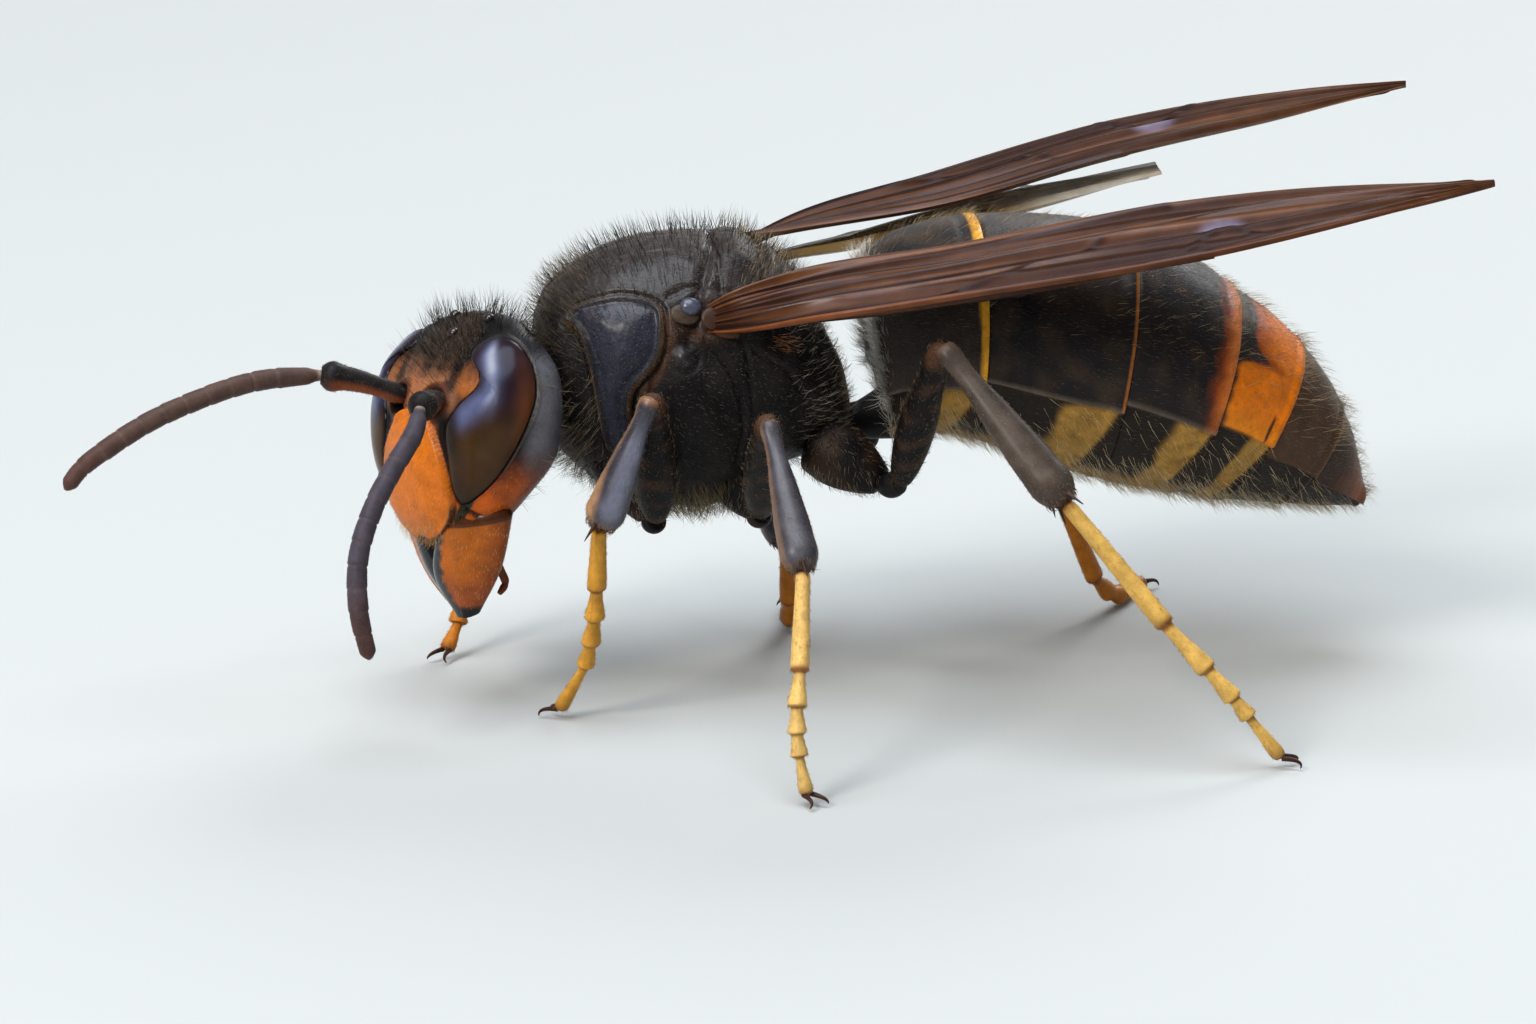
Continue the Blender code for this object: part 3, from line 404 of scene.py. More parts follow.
def closed_curve(outline, steps):
    """Smooth closed curve through the outline's points, with this many points for each of them."""
    outline = np.asarray(outline, float)
    count = len(outline)
    wrapped = outline[np.arange(-2, count + 3) % count]
    return smooth(np.column_stack([np.arange(-2, count + 3), wrapped]), np.arange(steps * count) / steps)


def line_distance(points, line):
    """Distance from each point to the nearest place on a line of straight runs."""
    points, line = np.asarray(points, float), np.asarray(line, float)
    nearest = np.full(points.shape[:-1], np.inf)
    for start, end in zip(line[:-1], line[1:]):
        run = end - start
        share = np.clip((points - start) @ run / (run @ run), 0, 1)
        nearest = np.minimum(nearest, np.linalg.norm(points - start - share[..., None] * run, axis=-1))
    return nearest


def inside_distance(points, outline):
    """Distance to a closed outline, above zero inside it: the sign comes from counting its crossings."""
    closed = np.vstack([outline, outline[:1]])
    x, y = points[..., 0], points[..., 1]
    odd = np.zeros(x.shape, bool)
    for (ax, ay), (bx, by) in zip(closed[:-1], closed[1:]):
        crosses = (ay > y) != (by > y)
        odd ^= crosses & (x < ax + (y - ay) * (bx - ax) / (by - ay + 1e-12))
    return line_distance(points, closed) * np.where(odd, 1, -1)


def noise(points, size, seed=0):
    """Soft value noise between -1 and 1 over points in space, as a sum of eight seeded plane waves."""
    random = np.random.default_rng(seed)
    waves = unit(random.normal(size=(8, 3))) * random.uniform(0.6, 1.6, (8, 1)) / size * 2 * math.pi
    phase = random.uniform(0, 2 * math.pi, 8)
    return np.sin(points @ waves.T + phase).mean(axis=-1) * 1.8


# Grids and meshes


def normals_of(grid):
    """Unit normals of a wrapped grid, square to its central differences along rows and columns."""
    down = np.gradient(grid, axis=0)
    across = np.roll(grid, -1, axis=1) - np.roll(grid, 1, axis=1)
    normal = np.cross(across, down)
    size = np.linalg.norm(normal, axis=-1, keepdims=True)
    normal = np.where(size > 1e-9, normal, np.roll(normal, 1, axis=0))
    return unit(normal)


def from_middle(grid):
    """Each point of a grid as seen from the middle of its row."""
    return grid - grid.mean(axis=1, keepdims=True)


def outward(grid):
    """Normals of a closed grid, all turned away from its middle line."""
    normal = normals_of(grid)
    away = (from_middle(grid) * normal).sum()
    return normal * (1 if away > 0 else -1)


def mesh_of(name, points, quads, triangles=(), colours=None, uv=None, fields=None):
    """A mesh from points in millimetres: uv is for each corner, colours and fields for each point."""
    quads = np.asarray(quads, np.int32).reshape(-1, 4)
    triangles = np.asarray(triangles, np.int32).reshape(-1, 3)
    mesh = bpy.data.meshes.new(name)
    mesh.vertices.add(len(points))
    mesh.vertices.foreach_set("co", ((np.asarray(points) - FLOOR_MIDDLE) * MM).astype(np.float32).ravel())
    corners = np.concatenate([quads.ravel(), triangles.ravel()])
    mesh.loops.add(len(corners))
    mesh.loops.foreach_set("vertex_index", corners)
    sizes = np.concatenate([np.full(len(quads), 4), np.full(len(triangles), 3)])
    mesh.polygons.add(len(sizes))
    mesh.polygons.foreach_set("loop_start", np.concatenate([[0], np.cumsum(sizes)[:-1]]).astype(np.int32))
    mesh.update(calc_edges=True)
    if uv is not None:
        layer = mesh.uv_layers.new(name="OFBake")
        layer.data.foreach_set("uv", np.asarray(uv, np.float32).ravel())
    if colours is not None:
        layer = mesh.color_attributes.new("markings", "FLOAT_COLOR", "POINT")
        rgba = np.column_stack([colours, np.ones(len(colours))]).astype(np.float32)
        layer.data.foreach_set("color", rgba.ravel())
    for field, values in (fields or {}).items():
        layer = mesh.attributes.new(field, "FLOAT", "POINT")
        layer.data.foreach_set("value", np.asarray(values, np.float32).ravel())
    mesh.shade_smooth()
    return mesh


def grid_faces(rows, columns, wrapped):
    """Quads between neighbouring points of a grid, and the grid places of their corners."""
    count = columns if wrapped else columns - 1
    i, j = np.meshgrid(np.arange(rows - 1), np.arange(count), indexing="ij")
    following = (j + 1) % columns
    quads = np.stack([i * columns + j, i * columns + following, (i + 1) * columns + following,
                      (i + 1) * columns + j], axis=-1).reshape(-1, 4)
    places = np.stack([np.stack([j, i], -1), np.stack([j + 1, i], -1), np.stack([j + 1, i + 1], -1),
                       np.stack([j, i + 1], -1)], axis=-2).reshape(-1, 4, 2)
    return quads, places / (count, rows - 1)


def shell(name, grid, colours, kind, replaced=(), fields=None):
    """A closed skin over a wrapped grid, each end closed by a fan, with its colours and its UV map."""
    rows, columns = grid.shape[:2]
    quads, places = grid_faces(rows, columns, True)
    points = np.concatenate([grid.reshape(-1, 3), grid[:1].mean(axis=1), grid[-1:].mean(axis=1)])
    tint = np.broadcast_to(colours, grid.shape)
    tint = np.concatenate([tint.reshape(-1, 3), tint[:1].mean(axis=1), tint[-1:].mean(axis=1)])
    extra = {}
    for field, values in (fields or {}).items():
        values = np.broadcast_to(values, grid.shape[:2])
        extra[field] = np.concatenate([values.ravel(), [values[0].mean(), values[-1].mean()]])
    j = np.arange(columns)
    following, first, last = (j + 1) % columns, rows * columns, rows * columns + 1
    base = (rows - 1) * columns
    start = np.column_stack([following, j, np.full(columns, first)])
    end = np.column_stack([base + j, base + following, np.full(columns, last)])
    u = np.stack([(j + 1) / columns, j / columns, (j + 0.5) / columns], axis=1)
    start_uv = np.stack([u, np.broadcast_to([0.002, 0.002, 0.0], u.shape)], axis=-1)
    end_uv = np.stack([u[:, [1, 0, 2]], np.broadcast_to([0.998, 0.998, 1.0], u.shape)], axis=-1)
    uv = np.concatenate([places.reshape(-1, 2), start_uv.reshape(-1, 2), end_uv.reshape(-1, 2)])
    triangles = np.concatenate([start, end])
    faces_in = (from_middle(grid) * normals_of(grid)).sum() < 0
    if faces_in:
        quads, triangles = quads[:, ::-1], triangles[:, ::-1]
        parts = (places[:, ::-1], start_uv[:, ::-1], end_uv[:, ::-1])
        uv = np.concatenate([part.reshape(-1, 2) for part in parts])
    piece(name, mesh_of(name, points, quads, triangles, tint, uv, extra), kind, replaced)
    skins[name] = {"grid": grid, "colours": np.broadcast_to(colours, grid.shape)}


def placed(name, data):
    """A new object in the scene."""
    made = bpy.data.objects.new(name, data)
    bpy.context.scene.collection.objects.link(made)
    return made


def piece(name, mesh, kind, replaced=()):
    """Puts a finished mesh in the scene: its material, its body and the solids it stands for."""
    made = placed(name, mesh)
    mesh.materials.append(look(kind))
    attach(made, "root")
    if replaced:
        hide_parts(*replaced)


def oval(sides, power=2.0):
    """Cosine and sine round a ring, squared up where the power is over 2."""
    turn = np.arange(sides) * 2 * math.pi / sides
    c, s = np.cos(turn), np.sin(turn)
    return np.sign(c) * np.abs(c) ** (2 / power), np.sign(s) * np.abs(s) ** (2 / power)


def tube(path, wide, deep, sides, facing):
    """Rings square to a path, their wide side square to the facing direction."""
    path = np.asarray(path, float)
    heading = unit(np.gradient(path, axis=0))
    across = unit(np.cross(heading, np.asarray(facing, float)))
    up = np.cross(across, heading)
    c, s = oval(sides)
    wide, deep = (np.asarray(half, float)[:, None, None] for half in (wide, deep))
    return path[:, None] + across[:, None] * c[None, :, None] * wide + up[:, None] * s[None, :, None] * deep


def dome(middle, normal, ahead, size, low=math.pi - 0.3, rings=14, sides=40):
    """A flattened egg on a surface, down to an angle from its top: half length, half width and height."""
    normal, ahead = unit(normal), np.asarray(ahead, float)
    ahead = unit(ahead - normal * (ahead @ normal))
    across = np.cross(normal, ahead)
    fall = np.linspace(0.02, low, rings)[:, None, None]
    turn = (np.arange(sides) * 2 * math.pi / sides)[None, :, None]
    ring = np.cos(turn) * ahead * size[0] + np.sin(turn) * across * size[1]
    return np.asarray(middle) + np.cos(fall) * normal * size[2] + np.sin(fall) * ring


def joint_place(at, ends):
    """The joint that each share of a limb's length falls in, and the share of that joint before it."""
    joint = np.clip(np.searchsorted(ends, at, side="right") - 1, 0, len(ends) - 2)
    return joint, (at - ends[joint]) / (ends[joint + 1] - ends[joint])


def full_turn(columns):
    """Turns of a grid's columns in degrees, as one row."""
    return (np.arange(columns) * 360 / columns)[None, :]


# Materials


def feed(tree, socket, value):
    """Links a socket to the one that it is given, or sets its plain value."""
    if isinstance(value, bpy.types.NodeSocket):
        tree.links.new(value, socket)
    else:
        socket.default_value = value


def fill(tree, made, **inputs):
    """Gives a node's named inputs their values or links; underscores stand for spaces."""
    for name, value in inputs.items():
        feed(tree, made.inputs[name.replace("_", " ")], value)


def node(tree, kind, options=None, **inputs):
    """A shader node with its options and its inputs."""
    made = tree.nodes.new("ShaderNode" + kind)
    for key, value in (options or {}).items():
        setattr(made, key, value)
    fill(tree, made, **inputs)
    return made


def maths(tree, operation, *values):
    """The result of a Math node on its values or sockets."""
    made = node(tree, "Math", {"operation": operation})
    for socket, value in zip(made.inputs, values):
        feed(tree, socket, value)
    return made.outputs[0]


def remap(tree, value, given, wanted):
    """A value carried from the given range to the wanted one, and held within it."""
    made = node(tree, "MapRange", None, Value=value, From_Min=given[0], From_Max=given[1],
                To_Min=wanted[0], To_Max=wanted[1])
    return made.outputs[0]


def shaded(tree, colour, shade):
    """A colour times a grey of this shade."""
    grey = node(tree, "CombineXYZ", None, X=shade, Y=shade, Z=shade)
    made = node(tree, "Mix", {"data_type": "RGBA", "blend_type": "MULTIPLY"})
    for index, value in ((0, 1.0), (6, colour), (7, grey.outputs[0])):
        feed(tree, made.inputs[index], value)
    return made.outputs[2]


def object_place(tree):
    """The place on the object, in metres, as a socket."""
    return node(tree, "TexCoord").outputs["Object"]


def attribute(tree, name, output="Fac"):
    """An attribute of the mesh, as its value or as its Color."""
    return node(tree, "Attribute", {"attribute_name": name}).outputs[output]


def group(name, inputs, outputs, build):
    """A shader node group with named sockets, built once."""
    found = bpy.data.node_groups.get(name)
    if found:
        return found
    tree = bpy.data.node_groups.new(name, "ShaderNodeTree")
    for label, kind, value in inputs:
        socket = tree.interface.new_socket(label, in_out="INPUT", socket_type="NodeSocket" + kind)
        socket.default_value = (*value, 1) if kind == "Color" else value
    for label, kind in outputs:
        tree.interface.new_socket(label, in_out="OUTPUT", socket_type="NodeSocket" + kind)
    start, end = tree.nodes.new("NodeGroupInput"), tree.nodes.new("NodeGroupOutput")
    for label, value in build(tree, start.outputs).items():
        tree.links.new(value, end.inputs[label])
    return tree


def grain_nodes(tree, given):
    """Pitted, mottled shell: pits are round dips at random places, and a finer noise roughens the rest."""
    place = object_place(tree)
    pits = node(tree, "TexVoronoi", None, Vector=place, Scale=given["Pit Scale"], Randomness=0.9)
    mottle = node(tree, "TexNoise", None, Vector=place, Scale=2600.0, Detail=4.0, Roughness=0.62)
    fine = node(tree, "TexNoise", None, Vector=place, Scale=42000.0, Detail=2.0, Roughness=0.6)
    dip = remap(tree, pits.outputs["Distance"], (0.05, 0.42), (0.0, 1.0))
    depth = maths(tree, "MULTIPLY", dip, given["Pit Depth"])
    shade = remap(tree, mottle.outputs["Fac"], (0.3, 0.72), (0.72, 1.22))
    pit_shade = remap(tree, dip, (0.0, 1.0), (0.80, 1.0))
    rough = remap(tree, mottle.outputs["Fac"], (0.3, 0.7), (-0.07, 0.09))
    return {
        "Color": shaded(tree, given["Color"], maths(tree, "MULTIPLY", shade, pit_shade)),
        "Roughness": maths(tree, "ADD", rough, given["Roughness"]),
        "Height": maths(tree, "MULTIPLY_ADD", fine.outputs["Fac"], 0.35, depth),
    }


def mottle_nodes(tree, given):
    """A colour made lighter and darker by a soft cloud, its shade between low and high."""
    cloud = node(tree, "TexNoise", None, Vector=object_place(tree), Scale=given["Scale"],
                 Detail=given["Detail"])
    shade = remap(tree, cloud.outputs["Fac"], (0.3, 0.7), (given["Low"], given["High"]))
    return {"Color": shaded(tree, given["Color"], shade)}


def grained(tree, roughness, pit_scale, pit_depth):
    """The shell's grain over the markings: colour, roughness and height."""
    inputs = (("Color", "Color", (0.1, 0.1, 0.1)), ("Roughness", "Float", 0.4),
              ("Pit Scale", "Float", 9000.0), ("Pit Depth", "Float", 0.5))
    outputs = (("Color", "Color"), ("Roughness", "Float"), ("Height", "Float"))
    grain = group("shell_grain", inputs, outputs, grain_nodes)
    return node(tree, "Group", {"node_tree": grain}, Color=attribute(tree, "markings", "Color"),
                Roughness=roughness, Pit_Scale=pit_scale, Pit_Depth=pit_depth).outputs


def mottled(tree, scale, detail, low, high):
    """The markings' colour under a cloud of this scale and detail."""
    inputs = (("Color", "Color", (0.1, 0.1, 0.1)), ("Scale", "Float", 1000.0), ("Detail", "Float", 2.0),
              ("Low", "Float", 0.75), ("High", "Float", 1.25))
    mottle = group("mottle", inputs, (("Color", "Color"),), mottle_nodes)
    return node(tree, "Group", {"node_tree": mottle}, Color=attribute(tree, "markings", "Color"),
                Scale=scale, Detail=detail, Low=low, High=high).outputs["Color"]


def new_material(name):
    """A new material, its node tree and its shader."""
    made = bpy.data.materials.new(name)
    made.use_nodes = True
    return made, made.node_tree, made.node_tree.nodes["Principled BSDF"]


def shell_material(name, roughness, pit_scale, pit_depth, bump, specular, sheen=0.0, coat_rough=0.3):
    """Hard shell: colour from the markings and shine from the gloss field, under pits and mottle."""
    made, tree, shader = new_material(name)
    grain = grained(tree, roughness, pit_scale, pit_depth)
    relief = node(tree, "Bump", None, Height=grain["Height"], Strength=bump, Distance=0.00002)
    fill(tree, shader, Base_Color=grain["Color"], Roughness=grain["Roughness"], Normal=relief.outputs[0],
         Sheen_Weight=sheen, Sheen_Roughness=0.5, Sheen_Tint=(0.62, 0.50, 0.42, 1),
         Coat_Weight=attribute(tree, "gloss"), Coat_Roughness=coat_rough, Coat_Tint=(0.86, 0.90, 1.0, 1),
         Specular_IOR_Level=specular)
    return made


def eye_material():
    """Compound eye: smooth and dark, with its facets as tiny close-set domes in the bump."""
    made, tree, shader = new_material("compound_eye_look")
    facets = node(tree, "TexVoronoi", None, Vector=object_place(tree), Scale=26000.0, Randomness=0.25)
    facet_rise = remap(tree, facets.outputs["Distance"], (0.0, 0.6), (1.0, 0.0))
    relief = node(tree, "Bump", None, Height=facet_rise, Strength=0.10, Distance=0.00001)
    fill(tree, shader, Base_Color=mottled(tree, 900.0, 3.0, 0.65, 1.35), Normal=relief.outputs[0],
         Roughness=0.24, Specular_IOR_Level=0.16, Specular_Tint=(0.72, 0.80, 1.0, 1))
    return made


def hair_material():
    """Hair: its own colour under a fine cloud."""
    made, tree, shader = new_material("hair_look")
    fill(tree, shader, Base_Color=mottled(tree, 3000.0, 2.0, 0.75, 1.25), Roughness=0.42)
    return made


def wing_material():
    """Smoky membrane: as solid as the solid field says, with a rosy gleam where the gloss field is high."""
    made, tree, shader = new_material("wing_look")
    fine = node(tree, "TexNoise", None, Vector=object_place(tree), Scale=26000.0, Detail=2.0)
    relief = node(tree, "Bump", None, Height=fine.outputs["Fac"], Strength=0.25, Distance=0.00001)
    fill(tree, shader, Base_Color=mottled(tree, 1500.0, 4.0, 0.75, 1.25), Alpha=attribute(tree, "solid"),
         Normal=relief.outputs[0], Coat_Weight=attribute(tree, "gloss"), Coat_Roughness=0.24,
         Coat_Tint=(1.0, 0.88, 0.90, 1), Roughness=0.36, Specular_IOR_Level=0.13,
         Specular_Tint=(0.96, 0.78, 0.84, 1))
    return made


# Shells: roughness, scale and depth of the pits, bump, specular level, sheen, and the clear coat's roughness
SHELL_LOOKS = {
    "face": (0.42, 13000.0, 0.6, 0.35, 0.14),
    "jaw": (0.34, 13000.0, 0.35, 0.25, 0.14, 0.0, 0.16),
    "velvet": (0.42, 11500.0, 1.0, 0.85, 0.12),
    "ring": (0.42, 13000.0, 0.8, 0.55, 0.13, 0.06),
    "limb": (0.40, 20000.0, 0.4, 0.25, 0.16, 0.0, 0.35),
    "feeler": (0.50, 20000.0, 0.6, 0.35, 0.14, 0.03),
    "bead": (0.10, 9000.0, 0.0, 0.0, 0.6, 0.0, 0.10),
    "scale": (0.26, 12000.0, 0.3, 0.2, 0.5),
}
OTHER_LOOKS = {"eye": eye_material, "hair": hair_material, "wing": wing_material}
made_looks = {}


def look(name):
    """The named material, made the first time that it is asked for."""
    if name not in made_looks:
        if name in OTHER_LOOKS:
            made_looks[name] = OTHER_LOOKS[name]()
        else:
            made_looks[name] = shell_material(name + "_look", *SHELL_LOOKS[name])
    return made_looks[name]


# Head


def head_axes():
    """Face direction, the head's own left and its up, as unit vectors."""
    face = np.array([-math.cos(HEAD_TURN), -math.sin(HEAD_TURN), 0.0])
    left = np.array([math.sin(HEAD_TURN), -math.cos(HEAD_TURN), 0.0])
    up = np.array([0.0, 0.0, 1.0])
    ahead = face * math.cos(HEAD_NOD) - up * math.sin(HEAD_NOD)
    up = up * math.cos(HEAD_NOD) + face * math.sin(HEAD_NOD)
    c, s = math.cos(HEAD_ROLL), math.sin(HEAD_ROLL)
    return ahead, left * c + up * s, up * c - left * s


def head_place(ahead, left, up):
    """A point of the head from its distances ahead, to its left and up from its middle."""
    f, s, u = head_axes()
    ahead, left, up = (np.asarray(v, float)[..., None] for v in (ahead, left, up))
    return HEAD_MIDDLE + f * ahead + s * left + u * up


def head_surface(turn, height, side=1):
    """The head's smooth form at a turn from its side towards its face, in degrees, and a height."""
    turn, height = np.broadcast_arrays(np.radians(np.asarray(turn, float)), np.asarray(height, float))
    wide, front, back = np.moveaxis(smooth(HEAD_SECTIONS, height), -1, 0)
    c, s = np.cos(turn), np.sin(turn)
    middle, deep = (front - back) / 2, (front + back) / 2
    reach = 2 / HEAD_POWER
    ahead = middle + np.sign(s) * np.abs(s) ** reach * deep
    return head_place(ahead, side * np.sign(c) * np.abs(c) ** reach * wide, height)


def head_normal(turn, height, side=1):
    """Outward normal of the head's smooth form, square to short steps round it and up it."""
    step_turn, step_height = 1.0, 0.02
    around = head_surface(turn + step_turn, height, side) - head_surface(turn - step_turn, height, side)
    upward = head_surface(turn, height + step_height, side) - head_surface(turn, height - step_height, side)
    normal = unit(np.cross(around, upward))
    away = head_surface(turn, height, side) - HEAD_MIDDLE
    return normal * np.sign((normal * away).sum(axis=-1, keepdims=True))


def flat_place(side, height):
    """A place on the head laid flat, in millimetres, from its turn in degrees and its height."""
    return np.stack([side, height], axis=-1) * FLAT_SCALE


def head_fields(turn, height):
    """Distances inside the outlines of eye and clypeus, and from the feelers' sockets, in millimetres."""
    folded = np.where(turn > 270, turn - 360, np.where(turn > 90, 180 - turn, turn))
    whole = np.where(turn > 300, turn - 360, turn)
    form = head_surface(turn, height)
    sockets = [np.linalg.norm(form - head_surface(*ANTENNA_ROOT, side), axis=-1) for _, side in SIDES]
    return {
        "side": folded,
        "eye": inside_distance(flat_place(folded, height), closed_curve(EYE_OUTLINE, 4) * FLAT_SCALE),
        "clypeus": inside_distance(flat_place(whole, height), closed_curve(CLYPEUS_OUTLINE, 4) * FLAT_SCALE),
        "socket": np.min(sockets, axis=0),
    }


def cheek_groove(side, height):
    """Distance to the short groove between the eye and the jaw."""
    return line_distance(flat_place(side, height), ((1.92, -1.34), (2.14, -1.74)))


def head_relief(field, height):
    """Height of the head's forms over its smooth form, as bells and smooth steps of the fields."""
    eye, clypeus, socket, side = field["eye"], field["clypeus"], field["socket"], field["side"]
    relief = -0.34 * step(eye, -0.02, 0.10) + 0.030 * ridge(eye + 0.07, 0.05)
    relief += 0.13 * step(clypeus, -0.02, 0.10) + 0.12 * step(clypeus, 0.10, 0.9)
    relief -= 0.08 * ridge(clypeus, 0.035)
    relief += 0.07 * step(socket, 0.62, 0.42) - 0.30 * step(socket, 0.42, 0.20)
    sinus = np.hypot((side - 56) * DEGREE_MM / 0.40, (height - 1.58) / 0.36)
    relief += 0.03 * step(sinus, 1.3, 0.3)
    middle = (90 - side) * DEGREE_MM
    relief -= 0.04 * ridge(middle, 0.05) * step(height, 1.3, 1.6) * step(height, 2.5, 2.3)
    relief += 0.10 * ridge(middle, 0.28) * step(height, 0.7, 0.9) * step(height, 1.7, 1.3)
    relief -= 0.05 * step(cheek_groove(side, height), 0.24, 0.05)
    relief -= 0.07 * ridge(condyle_line(side, height), 0.05)
    relief += 0.26 * ridge(side + 25, 22) * step(height, -1.6, -0.2) * step(height, 2.5, 1.2)
    return relief


def condyle_line(side, height):
    """Distance from the two dark lines between the cheek and the jaw, which run back from under the eye."""
    place = flat_place(side, height)
    upper = line_distance(place, ((2.05, -1.52), (1.30, -1.72), (0.40, -1.95), (-0.50, -2.10)))
    return np.minimum(upper, line_distance(place, ((2.10, -1.80), (1.30, -1.95), (0.40, -2.20))))


def head_colours(field, height, form):
    """Orange face, red-brown forehead, black crown and temple with grey pile and a painted sheen behind the
    eye, and cheek that reddens towards the jaw.
    """
    eye, clypeus, socket, side = field["eye"], field["clypeus"], field["socket"], field["side"]
    fine = noise(form, 0.16, 4)
    rise = height + noise(form, 0.9, 3) * 0.16 + 0.10 * fine
    crown = step(height + 0.3 * noise(form, 0.5, 9), 1.6, 2.1) * step(side, 50, 78)
    front = step(side, 56, 66)
    # Where the grey pile and its painted sheen lie, behind the eye
    pile_and_sheen = step(side, 9, -4) * step(side, -62, -22) * step(height, -1.6, -0.5) * step(height, 2.4, 1.4)
    forehead = front * step(rise, 2.10, 1.45)
    place = flat_place(side, height)
    stripe = line_distance(place, ((3.30, 1.15), (2.95, 1.75), (2.50, 2.30), (2.2, 2.7)))
    sinus = np.hypot((side - 53) * DEGREE_MM / 0.46, (height - 1.58) / 0.42)
    sinus_tone = mix((0.090, 0.034, 0.016), (0.300, 0.090, 0.022), step(height, 2.00, 1.35))
    cheek = line_distance(place, ((1.92, -1.32), (2.14, -1.78)))
    orange = np.array(settings().face_colour)
    lower_edge = step(np.abs(clypeus - 0.03), 0.14, 0.05) * step(height, -1.30, -1.55)
    lip = np.hypot((90 - side) * DEGREE_MM / 0.42, (height + 2.42) / 0.20)
    return layered(
        BLACK,
        ((0.022, 0.013, 0.008), crown),
        # Grey behind the eye: the pale pile's own grey, and a painted sheen over it
        ((0.135, 0.130, 0.146), 0.85 * pile_and_sheen),
        ((0.250, 0.100, 0.048), forehead),
        ((0.370, 0.130, 0.048), forehead * step(rise, 1.78, 1.20) * step(90 - side, 22, 9)),
        (BLACK, 0.88 * step(stripe + 0.07 * fine, 0.30, 0.10)),
        (sinus_tone * (1 + 0.18 * fine[..., None]), step(sinus + 0.16 * fine, 1.35, 0.75)),
        (BLACK, step(socket, 0.60, 0.46)),
        (RED_BROWN * 0.7, 0.7 * ridge(socket - 0.46, 0.06)),
        (BLACK, step(height, 0.95, 0.60) * front * step(side, 80, 70)),
        (RED_BROWN * 0.8, 0.9 * step(rise, 0.0, -1.15) * step(side, -52, -8)),
        (RED_ORANGE * 1.2, step(rise, -0.45, -1.40) * step(side, -26, 14)),
        (OLIVE, step(cheek, 0.30, 0.20)),
        (BLACK, 0.9 * step(condyle_line(side, height), 0.09, 0.04) * step(side, -12, 0)),
        (orange * (1 + 0.06 * fine[..., None]), step(clypeus, -0.03, 0.04)),
        ((0.040, 0.012, 0.005), 0.95 * lower_edge),
        (BLACK, step(lip, 1.1, 0.8)),
        ((0.12, 0.10, 0.085), 0.8 * ridge(eye + 0.085, 0.022) * step(side, 22, 10)),
        (BLACK, step(eye, -0.06, -0.03)),
    )


def make_head():
    """The head's skin: its sections turned into a grid, raised along its normals by head_relief."""
    rows, columns = 170, 288
    low, high = HEAD_SECTIONS[0][0], HEAD_SECTIONS[-1][0]
    ends = np.linspace(0.03, math.pi - 0.03, rows)
    height = ((low + high) / 2 - (high - low) / 2 * np.cos(ends))[:, None]
    turn, height = np.broadcast_arrays(full_turn(columns), height)
    field = head_fields(turn, height)
    form = head_surface(turn, height)
    grid = form + outward(form) * head_relief(field, height)[..., None]
    gloss = 0.22 * step(field["clypeus"], -0.05, 0.05) + 0.20 * step(field["side"], 10, -10)
    shell("head_shell", grid, head_colours(field, height, form), "face", ("head",),
          {"gloss": gloss})
    skins["head_shell"].update(field, height=height)


def make_eyes():
    """Each eye is a bean-shaped lens: its outline shrunk ring by ring and crowned like a circle's arc."""
    rings = 30
    rim = closed_curve(EYE_OUTLINE, 9)
    reach = np.sqrt(1 - np.linspace(0, 0.995, rings) ** 2)[::-1, None]
    place = EYE_MIDDLE + (rim - EYE_MIDDLE) * reach[..., None]
    crown = np.sqrt(np.clip(1 - reach ** 2, 0, 1))
    rise = (EYE_RISE * crown ** 0.8 - EYE_SINK)[..., None]
    turn, height = place[..., 0], place[..., 1]
    tone = layered(
        settings().eye_colour,
        ((0.016, 0.008, 0.012), step(height, 0.1, 1.2)),
        ((0.130, 0.042, 0.012), 0.75 * ridge(height - 0.5, 1.1) * step(turn, 20, 4)),
        ((0.075, 0.028, 0.006), 0.5 * ridge(height + 0.6, 0.5) * step(turn, 30, 55)),
        ((0.110, 0.125, 0.235), 0.85 * ridge(line_distance(place * FLAT_SCALE, EYE_BAR), 0.28)),
        ((0.330, 0.345, 0.420), 0.75 * ridge(line_distance(place * FLAT_SCALE, EYE_GLINT), 0.17)),
        ((0.004, 0.004, 0.005), step(reach, 0.93, 1.0)),
    )
    colours = np.concatenate([tone, tone[-1:]])
    for name, side in SIDES:
        lens = head_surface(turn, height, side) + head_normal(turn, height, side) * rise
        deep = lens[-1] - head_normal(*EYE_MIDDLE, side) * 0.5
        grid = np.concatenate([lens, deep[None]])
        shell("eye_lens_" + name, grid, colours, "eye", ("eye_" + name,))


def make_ocelli():
    """Three glassy beads on the crown, each a flattened dome of rings."""
    size = np.array([1, 1, 0.75]) * OCELLUS_HALF
    for number, (at, height) in enumerate(OCELLI):
        normal = head_normal(at, height)
        middle = head_surface(at, height) + normal * 0.02
        grid = dome(middle, normal, np.cross(normal, head_axes()[0]), size, math.pi / 2 + 0.5, 9, 24)
        shell(f"ocellus_{number + 1}", grid, (0.02, 0.012, 0.010), "bead")


# Jaws and feelers


def blade(front, rear, thick, rows, sides):
    """Flat oval rings between two edges; thick is the half thickness at root, middle and tip."""
    at = np.linspace(0, 1, rows)
    a, b = along(front, at), along(rear, at)
    across = b - a
    flat = unit(np.cross(np.gradient((a + b) / 2, axis=0), across))
    c, s = oval(sides, 2.3)
    half = smooth(np.column_stack([(0, 0.5, 1), thick]), at)[:, 0]
    rings = ((a + b) / 2)[:, None] + across[:, None] / 2 * c[None, :, None]
    rings = rings + flat[:, None] * (half[:, None] * s)[..., None]
    return rings, np.broadcast_to(at[:, None], rings.shape[:2]), c


